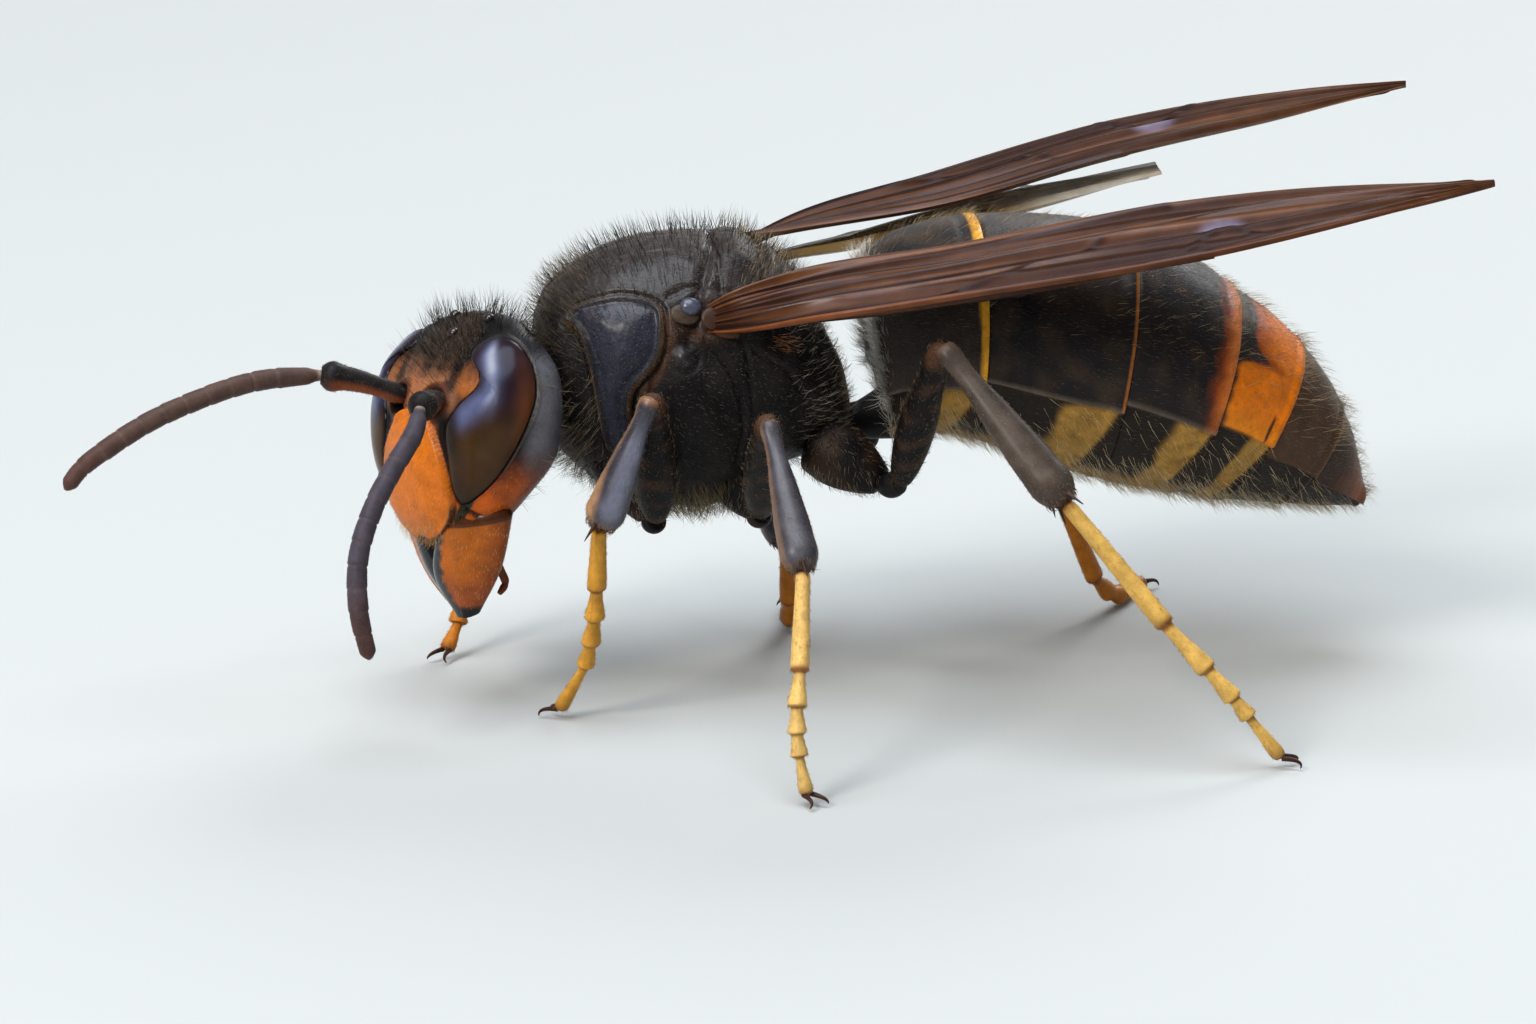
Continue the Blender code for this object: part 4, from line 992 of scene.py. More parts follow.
def make_mandible(name, side):
    """A flat blade, its root tucked under the cheek, with a black cutting edge and tip."""
    back = 0.0 if side == 1 else FAR_JAW_BACK
    edges = [[head_place(ahead - back * min(1.0, JAW_HINGE_HEIGHT - up), side * left, up)
              for ahead, left, up in edge] for edge in MANDIBLE_EDGES]
    grid, at, c = blade(*edges, MANDIBLE_HALF, 70, 64)
    root = mix(grid[0], grid[0].mean(axis=0), 0.25) + head_axes()[2] * 0.35
    front = np.broadcast_to((1 + c[None, :]) / 2, at.shape)
    grid = grid + unit(from_middle(grid)) * (0.05 * step(front, 0.30, 0.40))[..., None]
    fine = noise(grid, 0.25, 6)
    cut = front - 0.16 * at
    colours = layered(
        np.array(settings().face_colour) * 0.78,
        (RED_ORANGE * 0.85, step(at, 0.30, 0.85)),
        (RED_ORANGE * 0.45, 0.8 * step(front + 0.05 * fine, 0.60, 1.0)),
        (BLACK * 0.6, step(cut + 0.03 * fine, 0.15, 0.07)),
        ((0.030, 0.010, 0.005), 0.85 * step(at, 0.045, 0.03)),
        (BLACK * 0.8, step(at + 0.10 * (1 - front), 0.86, 0.94)),
    )
    gloss = 0.22 + 0.7 * step(cut, 0.17, 0.08)
    grid = np.concatenate([root[None], grid])
    colours, gloss = (np.concatenate([field[:1], field]) for field in (colours, gloss))
    shell("jaw_" + name, grid, colours, "jaw", ("mandible_" + name,), {"gloss": gloss})


def make_palp(name, side):
    """A thin four-jointed feeler under the jaw, bent at its tip."""
    at = np.linspace(0, 1, 40)
    path = along([head_place(ahead, side * left, up) for ahead, left, up in PALP_PATH], at)
    half = PALP_HALF * (1 - 0.21 * ridge(4 * at % 1 - 0.5, 0.12)) * step(1 - at, -0.15, 0.12)
    grid = tube(path, half, half, 20, head_axes()[0])
    shell("palp_" + name, grid, RED_BROWN * 0.9, "limb", ("maxilla_" + name,))


def make_scape(name, side):
    """The feeler's long first joint, narrow at its socket, widest near its end and orange below."""
    reach = np.linspace(0, 1, 40)
    root = head_surface(*ANTENNA_ROOT, side) - head_axes()[0] * 0.15
    bow = np.array([0, 0, 0.10]) * np.sin(math.pi * reach)[:, None]
    half = smooth(SCAPE_PROFILE, reach)[:, 0]
    grid = tube(root + (ANTENNAE[name][0] - root) * reach[:, None] + bow, half, half, 40, FEELER_FACING)
    lower = step(from_middle(grid)[..., 2], 0.05, -0.12)
    colours = mix(BLACK * 1.8, (0.250, 0.062, 0.014), 0.75 * lower * step(reach, 1.0, 0.75)[:, None])
    shell("scape_shell_" + name, grid, colours, "feeler", ("scape_" + name,))


def make_whip(name):
    """The whip of eleven joints, each a little wider at its end and drawn in at its seams."""
    at = np.linspace(0, 1, 150)
    joint, within = joint_place(at, np.concatenate([[0], np.cumsum(WHIP_JOINTS) / WHIP_JOINTS.sum()]))
    seam = ridge(np.minimum(within, 1 - within) * WHIP_JOINTS[joint], 0.05)
    swell = np.interp(at, WHIP_PLACES, WHIP_SWELL)
    half = FLAGELLUM_HALF * swell * (0.975 + 0.05 * within) * (1 - 0.09 * seam)
    half[-4:] *= (0.92, 0.8, 0.6, 0.3)
    grid = tube(along(ANTENNAE[name], at), half, half, 40, FEELER_FACING)
    # Each whip's tone by its side paints how the light falls on it
    tone = layered(
        WHIP_LIGHT_TONES[name],
        ((0.085, 0.040, 0.032), step(at, 0.62, 1.0)),
        ((0.14, 0.095, 0.080), 0.35 * seam),
        ((0.30, 0.22, 0.16), ridge(at - 0.006, 0.008)),
    )
    shell("whip_" + name, grid, tone[:, None], "feeler", ("flagellum_" + name,))


def make_jaws():
    """Both mandibles and the palps behind them."""
    for name, side in SIDES:
        make_mandible(name, side)
        make_palp(name, side)


def make_feelers():
    """Both feelers, scape and whip."""
    for name, side in SIDES:
        make_scape(name, side)
        make_whip(name)


# Body


def picture(points):
    """Where a point of the left half, or the mirror image of one of the right, falls in the photograph."""
    near = np.array(points, float)
    near[..., 1] = -np.abs(near[..., 1])
    right, up, back = view_axes()
    near = near - VIEW_TARGET
    scale = PIXELS_PER_MM * VIEW_DISTANCE / (VIEW_DISTANCE - near @ back)
    return np.stack([PHOTO_WIDTH / 2 + near @ right * scale, PHOTO_HEIGHT / 2 - near @ up * scale], axis=-1)


def mark_distance(place, *line):
    """Distance from places in the photograph to a line there, in millimetres."""
    return line_distance(place, line) / PIXELS_PER_MM


def body_surface(sections, at, turn, power):
    """Leaning oval rings: at a station, and a turn in degrees from the left side up over the back."""
    at, turn = np.broadcast_arrays(np.asarray(at, float), np.radians(np.asarray(turn, float)))
    x, z, high, wide, lean = np.moveaxis(smooth(sections, at), -1, 0)
    c, s = np.cos(turn), np.sin(turn)
    rise = np.sign(s) * np.abs(s) ** (2 / power) * high
    lean = np.radians(lean)
    y = -np.sign(c) * np.abs(c) ** (2 / power) * wide
    return np.stack([x - rise * np.sin(lean), y, z + rise * np.cos(lean)], axis=-1)


def collar_distance(place):
    """Distance inside the collar's side plate, in millimetres."""
    return inside_distance(place, closed_curve(COLLAR_OUTLINE, 3)) / PIXELS_PER_MM


def bump_distance(place):
    """Distance to the pale bump on the thorax's side, in millimetres."""
    return np.linalg.norm(place - SIDE_BUMP, axis=-1) / PIXELS_PER_MM


def thorax_relief(form):
    """Height of the thorax's plates, rims and grooves over its smooth form."""
    x, y, z = np.moveaxis(form, -1, 0)
    place = picture(form)
    collar = collar_distance(place)
    side = step(np.abs(y), 0.5, 1.2)
    relief = (0.09 * step(collar, -0.03, 0.05) - 0.09 * ridge(collar + 0.05, 0.06)) * side
    relief += (0.05 * ridge(collar - 0.09, 0.06) - 0.03 * ridge(collar - 0.24, 0.09)) * side
    relief += 0.10 * step(collar, 0.1, 0.9) * side
    front = step(-mark_distance(place, (562, 322), (575, 328), (591, 372), (602, 430)), -0.9, 0.0)
    relief -= 0.10 * front * step(collar, 0.0, -0.1) * step(x, -4.3, -4.6) * side
    relief -= 0.08 * ridge(line_distance(np.stack([x, z], axis=-1), SEAM_PROPODEUM), 0.06)
    top = step(z, 8.9, 9.6)
    relief -= 0.15 * ridge(x + 1.42 + 0.10 * y ** 2, 0.13) * top
    relief += 0.16 * ridge(x + 0.85, 0.48) * step(np.abs(y), 1.75, 1.2) * top
    relief -= 0.11 * ridge(x + 0.22, 0.10) * top
    relief += 0.10 * ridge(x - 0.02, 0.17) * step(np.abs(y), 1.9, 1.3) * top
    relief -= 0.05 * ridge(y, 0.05) * step(x, -1.4, -1.2) * step(x, 0.9, 0.5) * top
    relief -= 0.04 * ridge(y, 0.045) * step(x, -2.2, -2.6) * step(z, 9.5, 10.2)
    furrow = np.abs(np.abs(y) - 1.05 - 0.12 * (x + 3))
    relief -= 0.022 * ridge(furrow, 0.08) * step(x, -1.6, -1.9) * step(x, -4.2, -3.8) * step(z, 9.6, 10.2)
    wing_pit = np.linalg.norm((place - (700, 318)) / (26, 20), axis=-1)
    relief -= 0.16 * step(wing_pit, 1.2, 0.5)
    bump = bump_distance(place)
    relief += 0.11 * step(bump, 0.32, 0.05) - 0.05 * ridge(bump - 0.38, 0.07)
    for depth, width, line in SIDE_GROOVES:
        relief -= depth * ridge(mark_distance(place, *line), width)
    for rise, reach, line in SIDE_SWELLS:
        relief += rise * step(mark_distance(place, *line), reach, 0.2)
    return relief + 0.014 * noise(form, 0.8, 5) + 0.006 * noise(form, 0.25, 6)


def thorax_colours(form):
    """Black brown, with pale brown rims along the collar, the side groove and the rear edge, painted light
    on the back, and a painted bluish sheen on the collar's plate.
    """
    place = picture(form)
    across, down = place[..., 0], place[..., 1]
    collar = collar_distance(place)
    rear = step(across, 600, 640) * step(down, 300, 312) * step(down, 430, 400)
    front = step(across, 612, 604) * step(down, 440, 410)
    rim = ridge(collar - 0.03, 0.032) * (0.95 * rear + 0.65 * front + 0.08 * (1 - rear) * (1 - front))
    groove = mark_distance(place, (668, 318), (672, 340), (660, 372), (645, 392))
    wing_socket = np.linalg.norm((place - (706, 322)) / (1.3, 1.0), axis=-1) / PIXELS_PER_MM
    rear_edge = mark_distance(place, (838, 365), (847, 407), (849, 432), (842, 446))
    return layered(
        BLACK * 1.1,
        ((0.017, 0.014, 0.013), step(noise(form, 1.6, 11), -0.4, 0.8)),
        # Painted light: the back made lighter, as lit from above
        ((0.036, 0.027, 0.025), 0.8 * step(form[..., 2], 9.6, 10.6)),
        # Painted bluish sheen on the collar's plate
        ((0.020, 0.021, 0.034), 0.85 * step(collar, 0.0, 0.3)),
        ((0.230, 0.120, 0.055), rim),
        ((0.090, 0.040, 0.022), 0.6 * ridge(groove - 0.05, 0.09) * step(collar, 0.0, -0.04)),
        ((0.050, 0.024, 0.013), 0.7 * step(wing_socket, 0.75, 0.35)),
        ((0.20, 0.13, 0.075), 0.7 * ridge(rear_edge, 0.05)),
    )


def thorax_gloss(form):
    """Share of clear coat: most on the back and the collar's plate, some on the bump, none on the sides."""
    place = picture(form)
    back = step(form[..., 2], 9.4, 10.2) * (0.34 - 0.18 * step(form[..., 0], -1.6, -1.2))
    collar = step(collar_distance(place), 0.05, 0.4) * step(place[..., 1], 430, 350)
    return np.clip(back + 0.22 * collar + 0.4 * step(bump_distance(place), 0.35, 0.15), 0, 0.6)


def make_thorax():
    """One skin over collar, back, sides and rear slope, with plates raised and seams sunk by the relief."""
    rows, columns = 300, 330
    stations = np.arange(len(THORAX_SECTIONS))
    at = np.linspace(0, stations[-1], rows)[:, None]
    form = body_surface(np.column_stack([stations, THORAX_SECTIONS]), at, full_turn(columns), THORAX_POWER)
    grid = form + outward(form) * thorax_relief(form)[..., None]
    replaced = ("prothorax", "mesothorax", "metathorax")
    shell("thorax_shell", grid, thorax_colours(form), "velvet", replaced,
          {"gloss": thorax_gloss(form)})


def make_neck():
    """The neck as a tube with faint rings."""
    at = np.linspace(0, 1, 30)
    half = 0.78 + 0.06 * np.sin(at * 12)
    neck = tube(along(NECK_PATH, at), half, half, 32, (0, 1, 0))
    shell("neck_shell", neck, BLACK, "velvet", ("neck",))


def make_waist():
    """The short stalk between thorax and gaster."""
    at = np.linspace(0, 1, 60)
    half = np.interp(at, (0, 0.25, 0.5, 0.8, 1), (0.62, 0.40, 0.44, 0.62, 0.75))
    waist = tube(along(WAIST_PATH, at), half * 1.1, half, 36, (0, 1, 0))
    shell("waist_shell", waist, BLACK * 1.1, "ring", ("petiole",))


def make_wing_roots():
    """The glossy scale over each wing's root, and the small plates behind it."""
    for name, side in SIDES:
        flip = np.array([1, -side, 1])
        for label, (middle, normal, size, tint, kind) in WING_PLATES.items():
            grid = dome(middle * flip, normal * flip, (1, 0, -0.15), size)
            shell(f"wing_{label}_{name}", grid, tint, kind)


def ring_colours(number, at, up, form):
    """Colours of one ring of the gaster: its rear band, its sides, and the belly's slanting patches."""
    left = number - at
    edge = PLATE_EDGES[number - 1]
    wander = noise(form, 1.1, 20 + number)
    fine = noise(form, 0.35, 40 + number)
    colour = mix(BLACK * 2.4, (0.036, 0.023, 0.016), step(wander, -0.4, 0.9))
    if number == 1:
        thin = 0.025 * step(up, 0.5, -0.1)
        colour = mix(colour, (0.050, 0.036, 0.030), 0.7 * step(up, 0.85, 0.1))
        colour = mix(colour, YELLOW * 1.1, step(left, 0.085 - thin, 0.06 - thin))
    if number == 2:
        flush = np.hypot(left - 0.45, up - 0.75)
        colour = mix(colour, (0.046, 0.026, 0.017), 0.6 * step(flush, 0.5, 0.1))
        colour = mix(colour, (0.35, 0.11, 0.020), step(left, 0.036, 0.020))
    if number == 3:
        band = step(left + 0.04 * wander + 0.03 * fine, 0.24, 0.10) * (0.55 + 0.45 * step(up, -0.1, 0.2))
        colour = mix(colour, mix((0.26, 0.045, 0.008), (0.62, 0.165, 0.025), step(left, 0.17, 0.02)), band)
    if number == 4:
        share = at - 3
        tooth = 0.30 * ridge(up - 0.62, 0.06) + 0.16 * step(up, 0.56, 0.70)
        front = tooth + 0.03 + 0.02 * wander + 0.02 * fine
        red = step(share, front + 0.45, front + 0.02) * step(up, 0.5, 0.62)
        tone = layered(ORANGE * 1.30, (RED_ORANGE * 0.8, red), (YELLOW, 0.35 * step(up, 0.3, -0.1)))
        colour = mix(colour, tone, step(share, front - 0.03, front + 0.06))
        streak = np.hypot((share - 0.80) / 0.035, (up - 0.10) / 0.15)
        colour = mix(colour, BLACK, 0.9 * step(streak, 1.2, 0.7))
    if number == 5:
        colour = mix((0.074, 0.036, 0.018), (0.120, 0.046, 0.016), step(left + 0.05 * fine, 0.12, 0.0))
    if number == 6:
        colour = mix((0.040, 0.020, 0.011), (0.24, 0.070, 0.022), step(at + 0.1 * fine, 5.3, 5.90))
    colour = mix(colour, (0.22, 0.17, 0.12), 0.55 * ridge(up - edge - 0.02, 0.020) * (number < 4))
    deep = np.clip((edge - up) / (edge + 0.92), 0, 1)
    patch = step(left - 0.05 * wander, 0.50 + 0.18 * deep, 0.38 + 0.18 * deep)
    patch = patch * step(left, 0.02 + 0.26 * deep, 0.07 + 0.26 * deep) * (number < 5)
    return layered(
        (0.014, 0.009, 0.006),
        ((0.43, 0.230, 0.042), patch * (0.80 + 0.20 * fine)),
        ((0.30, 0.16, 0.035), step(deep, 0.80, 0.95) * 0.7 * (number < 4)),
        (colour, step(up, edge - 0.015, edge + 0.005)),
    )


def ring_stations(number, tuck, rows, lip):
    """Stations of one ring's rows, from its front, tucked under the ring before, to the rows of its lip."""
    at = np.linspace(number - 1 - tuck, number - 0.002, rows)
    if number == 1:
        at = 0.004 + 0.994 * np.linspace(0, 1, rows) ** 1.5
    at = np.concatenate([at, np.full(lip, number - 0.001)])
    return np.minimum(at, GASTER_SECTIONS[-1][0] - 0.005)[:, None]


def make_gaster():
    """Six rings: each tucks its front under the one before, swells to a rounded lip and laps its belly."""
    columns, rows, lip = 260, 66, 7
    turn = full_turn(columns)
    curl = np.linspace(0, 1, lip + 1)[1:, None] * math.pi / 2
    for number, plate_edge in enumerate(PLATE_EDGES, 1):
        tuck = 0.0 if number == 1 else 0.16
        at = ring_stations(number, tuck, rows, lip)
        up = np.broadcast_to(np.sin(np.radians(turn)), (len(at), columns))
        form = body_surface(GASTER_SECTIONS, at, turn, GASTER_POWER)
        left = np.minimum(number - at, 1 + tuck)
        edge = up - plate_edge + 0.010 * noise(form, 1.5, 7)
        relief = 0.05 - 0.20 * step(at, number - 0.985, number - 1.05) * (number > 1)
        relief = relief + 0.035 * ridge(left - 0.05, 0.05) - 0.015 * ridge(left - 0.16, 0.04)
        relief = relief + 0.10 * (step(edge, -0.015, 0.015) - 1) + 0.025 * ridge(edge - 0.04, 0.03)
        relief += 0.012 * noise(form, 1.3, number)
        if number < 6:
            relief[rows:] = relief[rows - 1] - 0.14 * (1 - np.cos(curl)) - 0.02 * np.sin(curl)
        before_lip = np.minimum(at, number - 0.002)
        normal = outward(body_surface(GASTER_SECTIONS, before_lip, turn, GASTER_POWER))
        normal[rows:] = normal[rows - 1]
        grid = form + normal * relief[..., None]
        colours = ring_colours(number, at, up, form)
        gloss = (0.14 if number < 4 else 0.04) * step(up, 0.2, 0.8) * step(at, 0.35, 0.7)
        shell(f"ring_{number}", grid, colours, "ring",
              (f"gaster_{number}",), {"gloss": gloss})
        skins[f"ring_{number}"] = {"grid": grid[:rows], "colours": colours[:rows], "up": up[:rows],
                                   "at": np.broadcast_to(at[:rows], (rows, columns))}


# Legs


def limb(name, path, profile, facing, tint, kind, replaced=(), sides=36, rows=80, flat=1.0, gloss=0.0):
    """A tube along a path whose half width follows a profile, coloured by tint.

    tint takes the leg's pair, the share of the limb's length, its points, and their way out from its middle.
    """
    at = np.linspace(0, 1, rows)
    spine = along(path, at)
    half = smooth(profile, at)[:, 0]
    half = half * np.sqrt(np.clip(1 - ((at - 0.5) * 2) ** 40, 0.02, 1))
    grid = tube(spine, half * flat, half, sides, facing)
    around = (grid - spine[:, None]) / np.maximum(half, 0.01)[:, None, None]
    colours = tint(name.split("_")[1], at[:, None], grid, around)
    shell(name, grid, colours, kind, replaced, {"gloss": gloss})


def hip_tint(pair, at, grid, around):
    """Black, and browner in patches."""
    return mix(BLACK, (0.030, 0.017, 0.011), step(noise(grid, 0.9, 8), -0.3, 0.8))


def thigh_tint(pair, at, grid, around):
    """Dark brown in patches, and redder at the knee."""
    tone = mix(BLACK * 1.1, (0.040, 0.020, 0.012), step(noise(grid, 0.8, 9), -0.2, 0.9))
    return mix(tone, (0.110, 0.045, 0.020), 0.6 * step(at, 0.86, 0.96))


def shin_tint(pair, at, grid, around):
    """The pair's dark colour, a painted highlight on its face, orange along its front edge, and warm at both
    joints.
    """
    dark, pale, joint, share, _ = SHIN_TONES[pair]
    front = around @ SHIN_FRONT
    near_end = 0.30 * step(at, 0.5, 0.95) * (pair == "fore")
    return layered(
        np.array(dark) * 0.7,
        (dark, step(noise(grid, 0.7, 10), -0.3, 0.7)),
        # Painted highlight down the face turned to the camera
        (pale, 0.85 * step(around @ SHIN_HIGHLIGHT_SIDE, 0.55, 0.98) * step(at, 0.10, 0.35) * step(at, 1.0, 0.85)),
        ((0.50, 0.255, 0.110), share * step(front, 0.78 - near_end, 0.99 - 0.3 * near_end)),
        ((0.160, 0.085, 0.045), 0.6 * step(front, -0.70, -0.98)),
        (joint, 0.7 * step(at, 0.08, 0.02) + 0.6 * share * step(at, 0.92, 0.99)),
    )


def tarsus_grid(joints, facing):
    """The foot's five joints as one tube: each joint widens to its end and narrows sharply into the next."""
    lengths = np.linalg.norm(np.diff(joints, axis=0), axis=1)
    ends = np.concatenate([[0], np.cumsum(lengths) / lengths.sum()])
    at = np.linspace(0, 1, 150)
    joint, within = joint_place(at, ends)
    spine = np.stack([np.interp(at, ends, joints[:, axis]) for axis in range(3)], axis=-1)
    for _ in range(3):
        spine[1:-1] = (spine[:-2] + 2 * spine[1:-1] + spine[2:]) / 4
    start = np.array((0.21, 0.17, 0.17, 0.165, 0.13))[joint]
    end = np.array((0.265, 0.275, 0.265, 0.250, 0.21))[joint]
    half = start + (end - start) * step(within, 0.10, 0.97)
    half *= 1 - 0.36 * step(within, 0.975, 1.0) * (joint < 4)
    half *= np.sqrt(np.clip(1 - ((at - 0.5) * 2) ** 60, 0.02, 1))
    return tube(spine, half, half * 0.85, 28, facing), at, within


def make_legs():
    """Six legs, each a hip, a ring, a thigh, a shin with its spurs, and a jointed foot with two claws."""
    for label, leg in LEGS.items():
        coxa, femur, tarsus, (thigh, shin) = (np.asarray(part, float) for part in leg)
        pair = label.split("_")[0]
        hip = COXA_HALF[pair]
        knee, ankle = femur[1], tarsus[0]
        facing = unit(np.cross(knee - femur[0], ankle - knee))
        limb(f"hip_{label}", [coxa[0], (coxa[0] + coxa[1]) / 2, coxa[1]],
             ((0, hip * 0.95), (0.35, hip), (0.8, hip * 0.68), (1, hip * 0.42)),
             facing, hip_tint, "velvet", (f"coxa_{label}",), sides=48)
        limb(f"link_{label}", [coxa[1], (coxa[1] + femur[0]) / 2 + (0, 0, -0.06), femur[0]],
             ((0, 0.26), (0.5, 0.33), (1, 0.26)), facing, hip_tint, "limb", rows=30)
        limb(f"thigh_{label}", [femur[0], (femur[0] + knee) / 2 + (0, 0, 0.05), knee],
             ((0, 0.24), (0.15, thigh * 0.80), (0.42, thigh * 0.98), (0.8, thigh * 0.66),
              (0.93, thigh * 0.62), (1, thigh * 0.42)),
             facing, thigh_tint, "velvet", (f"femur_{label}",), sides=48)
        limb(f"shin_{label}", [knee, (knee + ankle) / 2, ankle],
             ((0, shin * 0.52), (0.07, shin * 0.60), (0.14, shin * 0.54), (0.45, shin * 0.80),
              (0.78, shin * 1.06), (0.92, shin * 1.04), (1, shin * 0.66)),
             facing, shin_tint, "limb", (f"tibia_{label}",), sides=48, flat=0.82,
             gloss=SHIN_TONES[pair][-1])
        make_spurs(label, knee, ankle, facing)
        make_foot(label, tarsus, facing)


def make_spurs(label, knee, ankle, facing):
    """Two stiff spines at the end of the shin: cones that lean out from its line and bend a little."""
    down = unit(ankle - knee)
    across = unit(np.cross(down, facing))
    share = np.linspace(0, 1, 12)
    half = 0.055 * (1 - share) ** 0.8 + 0.006
    for number, way in enumerate((-1, 1)):
        lean = unit(down + way * 0.55 * across)
        root = ankle - down * 0.16 + way * across * 0.26
        path = root + lean * 0.52 * share[:, None] + down * 0.06 * (share ** 2)[:, None]
        spur = tube(path, half, half, 12, facing)
        shell(f"spur_{label}_{number + 1}", spur, (0.045, 0.022, 0.012), "limb")


def make_foot(label, joints, facing):
    """The foot's tube with brown joint lines, and its two hooked claws."""
    grid, at, within = tarsus_grid(joints, facing)
    pair, name = label.split("_")
    # The far feet take a darker tone as painted shade
    yellow = np.array(FOOT_TONES[pair] if name == "left" else FAR_FOOT_SHADED_TONE)
    tone = layered(
        yellow,
        (yellow * (0.30, 0.16, 0.10), 0.9 * ridge(np.minimum(within, 1 - within) - 0.01, 0.040)),
        ((0.20, 0.075, 0.025), 0.6 * step(at, 0.93, 1.0)),
    )
    shell(f"foot_{label}", grid, tone[:, None], "limb", (f"tarsus_{label}",))
    end = joints[-1]
    heading = unit((end - joints[-2]) * (1, 1, 0.0))
    across = np.cross(heading, (0, 0, 1.0))
    share = np.linspace(0, 1, 16)
    half = 0.060 * (1 - share) ** 0.7 + 0.008
    for number, way in enumerate((-1, 1)):
        path = end + heading * 0.42 * np.sin(share * 1.9)[:, None] / 0.95
        path = path + across * way * (0.10 + 0.20 * share)[:, None]
        path[:, 2] = np.maximum(path[:, 2] + 0.02 - 0.20 * share ** 2, 0.04)
        claw = tube(path, half, half, 12, (0, 0, 1))
        shell(f"claw_{label}_{number + 1}", claw, (0.045, 0.018, 0.010), "jaw")


# Wings


def wing_veins(span, chord):
    """Share of vein at each place of a wing: long veins as lines, short cross veins, and the dark spot."""
    place = np.stack([span, chord], axis=-1) * WING_SIZE
    veins = ridge(np.min([line_distance(place, line * WING_SIZE) for line in WING_VEINS], axis=0), 0.075)
    return np.maximum(veins, step(np.abs(span - 0.60), 0.045, 0.03) * step(chord, 0.16, 0.10))


def wing_colours(span, chord, fold, streak, veins):
    """Streaked brown with painted shade in the folds, dark veins, a rusty front edge and a painted lilac
    highlight.
    """
    lilac_highlight = np.hypot((span - 0.66) / 0.030, (chord - 0.52) / 0.075)
    return layered(
        (0.028, 0.009, 0.004),
        ((0.135, 0.050, 0.017), step(streak, -0.75, 0.85)),
        # Painted shade in the pleats' folds
        ((0.014, 0.005, 0.004), 0.7 * step(fold, -0.35, -0.95)),
        ((0.085, 0.036, 0.015), 0.45 * step(span, 0.55, 1.0)),
        ((0.012, 0.004, 0.003), 0.85 * veins),
        ((0.215, 0.066, 0.018), ridge(chord - 0.035, 0.045) * (0.25 + 0.70 * step(span, 0.45, 0.12))),
        ((0.010, 0.004, 0.003), 0.8 * ridge(chord - 0.145, 0.035) * step(span, 0.75, 0.5)),
        ((0.200, 0.105, 0.060), 0.6 * step(chord, 0.93, 0.985)),
        # Painted lilac highlight on a raised cell
        ((0.220, 0.185, 0.270), 0.8 * step(lilac_highlight, 1.2, 0.5)),
    )


def make_wings():
    """Each wing is a thin closed sheet: its pleats lift both faces and its veins thicken it."""
    rows, half = 220, 72
    across = np.linspace(0, 1, half)
    outwards = np.linspace(0, 1, rows)[:, None]
    span, chord = np.broadcast_arrays(outwards, np.concatenate([across, across[::-1]]))
    face = np.repeat([1, -1], half)
    veins = wing_veins(span, chord)
    fold = np.sin(2 * math.pi * (chord * PLEATS + 0.25 * np.sin(3 * span + 0.6)))
    pleats = 0.10 * fold * step(span, 0.02, 0.15) * step(span, 1.1, 0.75)
    pleats += 0.035 * np.sin(2 * math.pi * (chord * 8.5 + 0.4 * span)) * step(span, 0.15, 0.5)
    streak = noise(np.stack([span * 2.4, chord * 15, 0 * span], axis=-1), 1.7, 31)
    rim = step(chord, 0, 0.03) * step(chord, 1, 0.97)
    thick = (0.012 + 0.045 * veins + 0.05 * step(span, 0.10, 0.0)) * (0.25 + 0.75 * rim)
    tone = wing_colours(span, chord, fold, streak, veins)
    solid = np.clip(0.93 + 0.07 * veins + 0.2 * step(span, 0.2, 0.0), 0, 1)
    gloss = 0.26 * step(streak + 0.7 * fold, -0.1, 0.9)
    rib = 0.5 + 0.5 * np.sin(2 * math.pi * chord * 9)
    # Painted highlight on the ribs of the far hindwing's tip
    rib_highlight = ((0.66, 0.62, 0.54), step(span, 0.62, 0.80) * (0.45 + 0.55 * rib))
    pale = {"tone": layered(tone, ((0.46, 0.31, 0.12), 0.75), rib_highlight),
            "solid": solid * (0.55 + 0.12 * rib)}
    for family, table in (("forewing", FOREWINGS), ("hindwing", HINDWINGS)):
        for name, (outer, inner) in table.items():
            first, last = along(outer, span[:, 0]), along(inner, span[:, 0])
            middle = first[:, None] + (last - first)[:, None] * chord[..., None]
            normal = unit(np.cross(np.gradient((first + last) / 2, axis=0), last - first))
            grid = middle + normal[:, None] * (pleats * rim + face * thick)[..., None]
            own = pale if (family, name) == ("hindwing", "right") else {"tone": tone, "solid": solid}
            fields = {"solid": np.clip(own["solid"] * settings().wing_solidity, 0, 1), "gloss": gloss}
            shell(f"{family}_sheet_{name}", grid, own["tone"], "wing",
                  (f"{family}_{name}",), fields)


# Coat


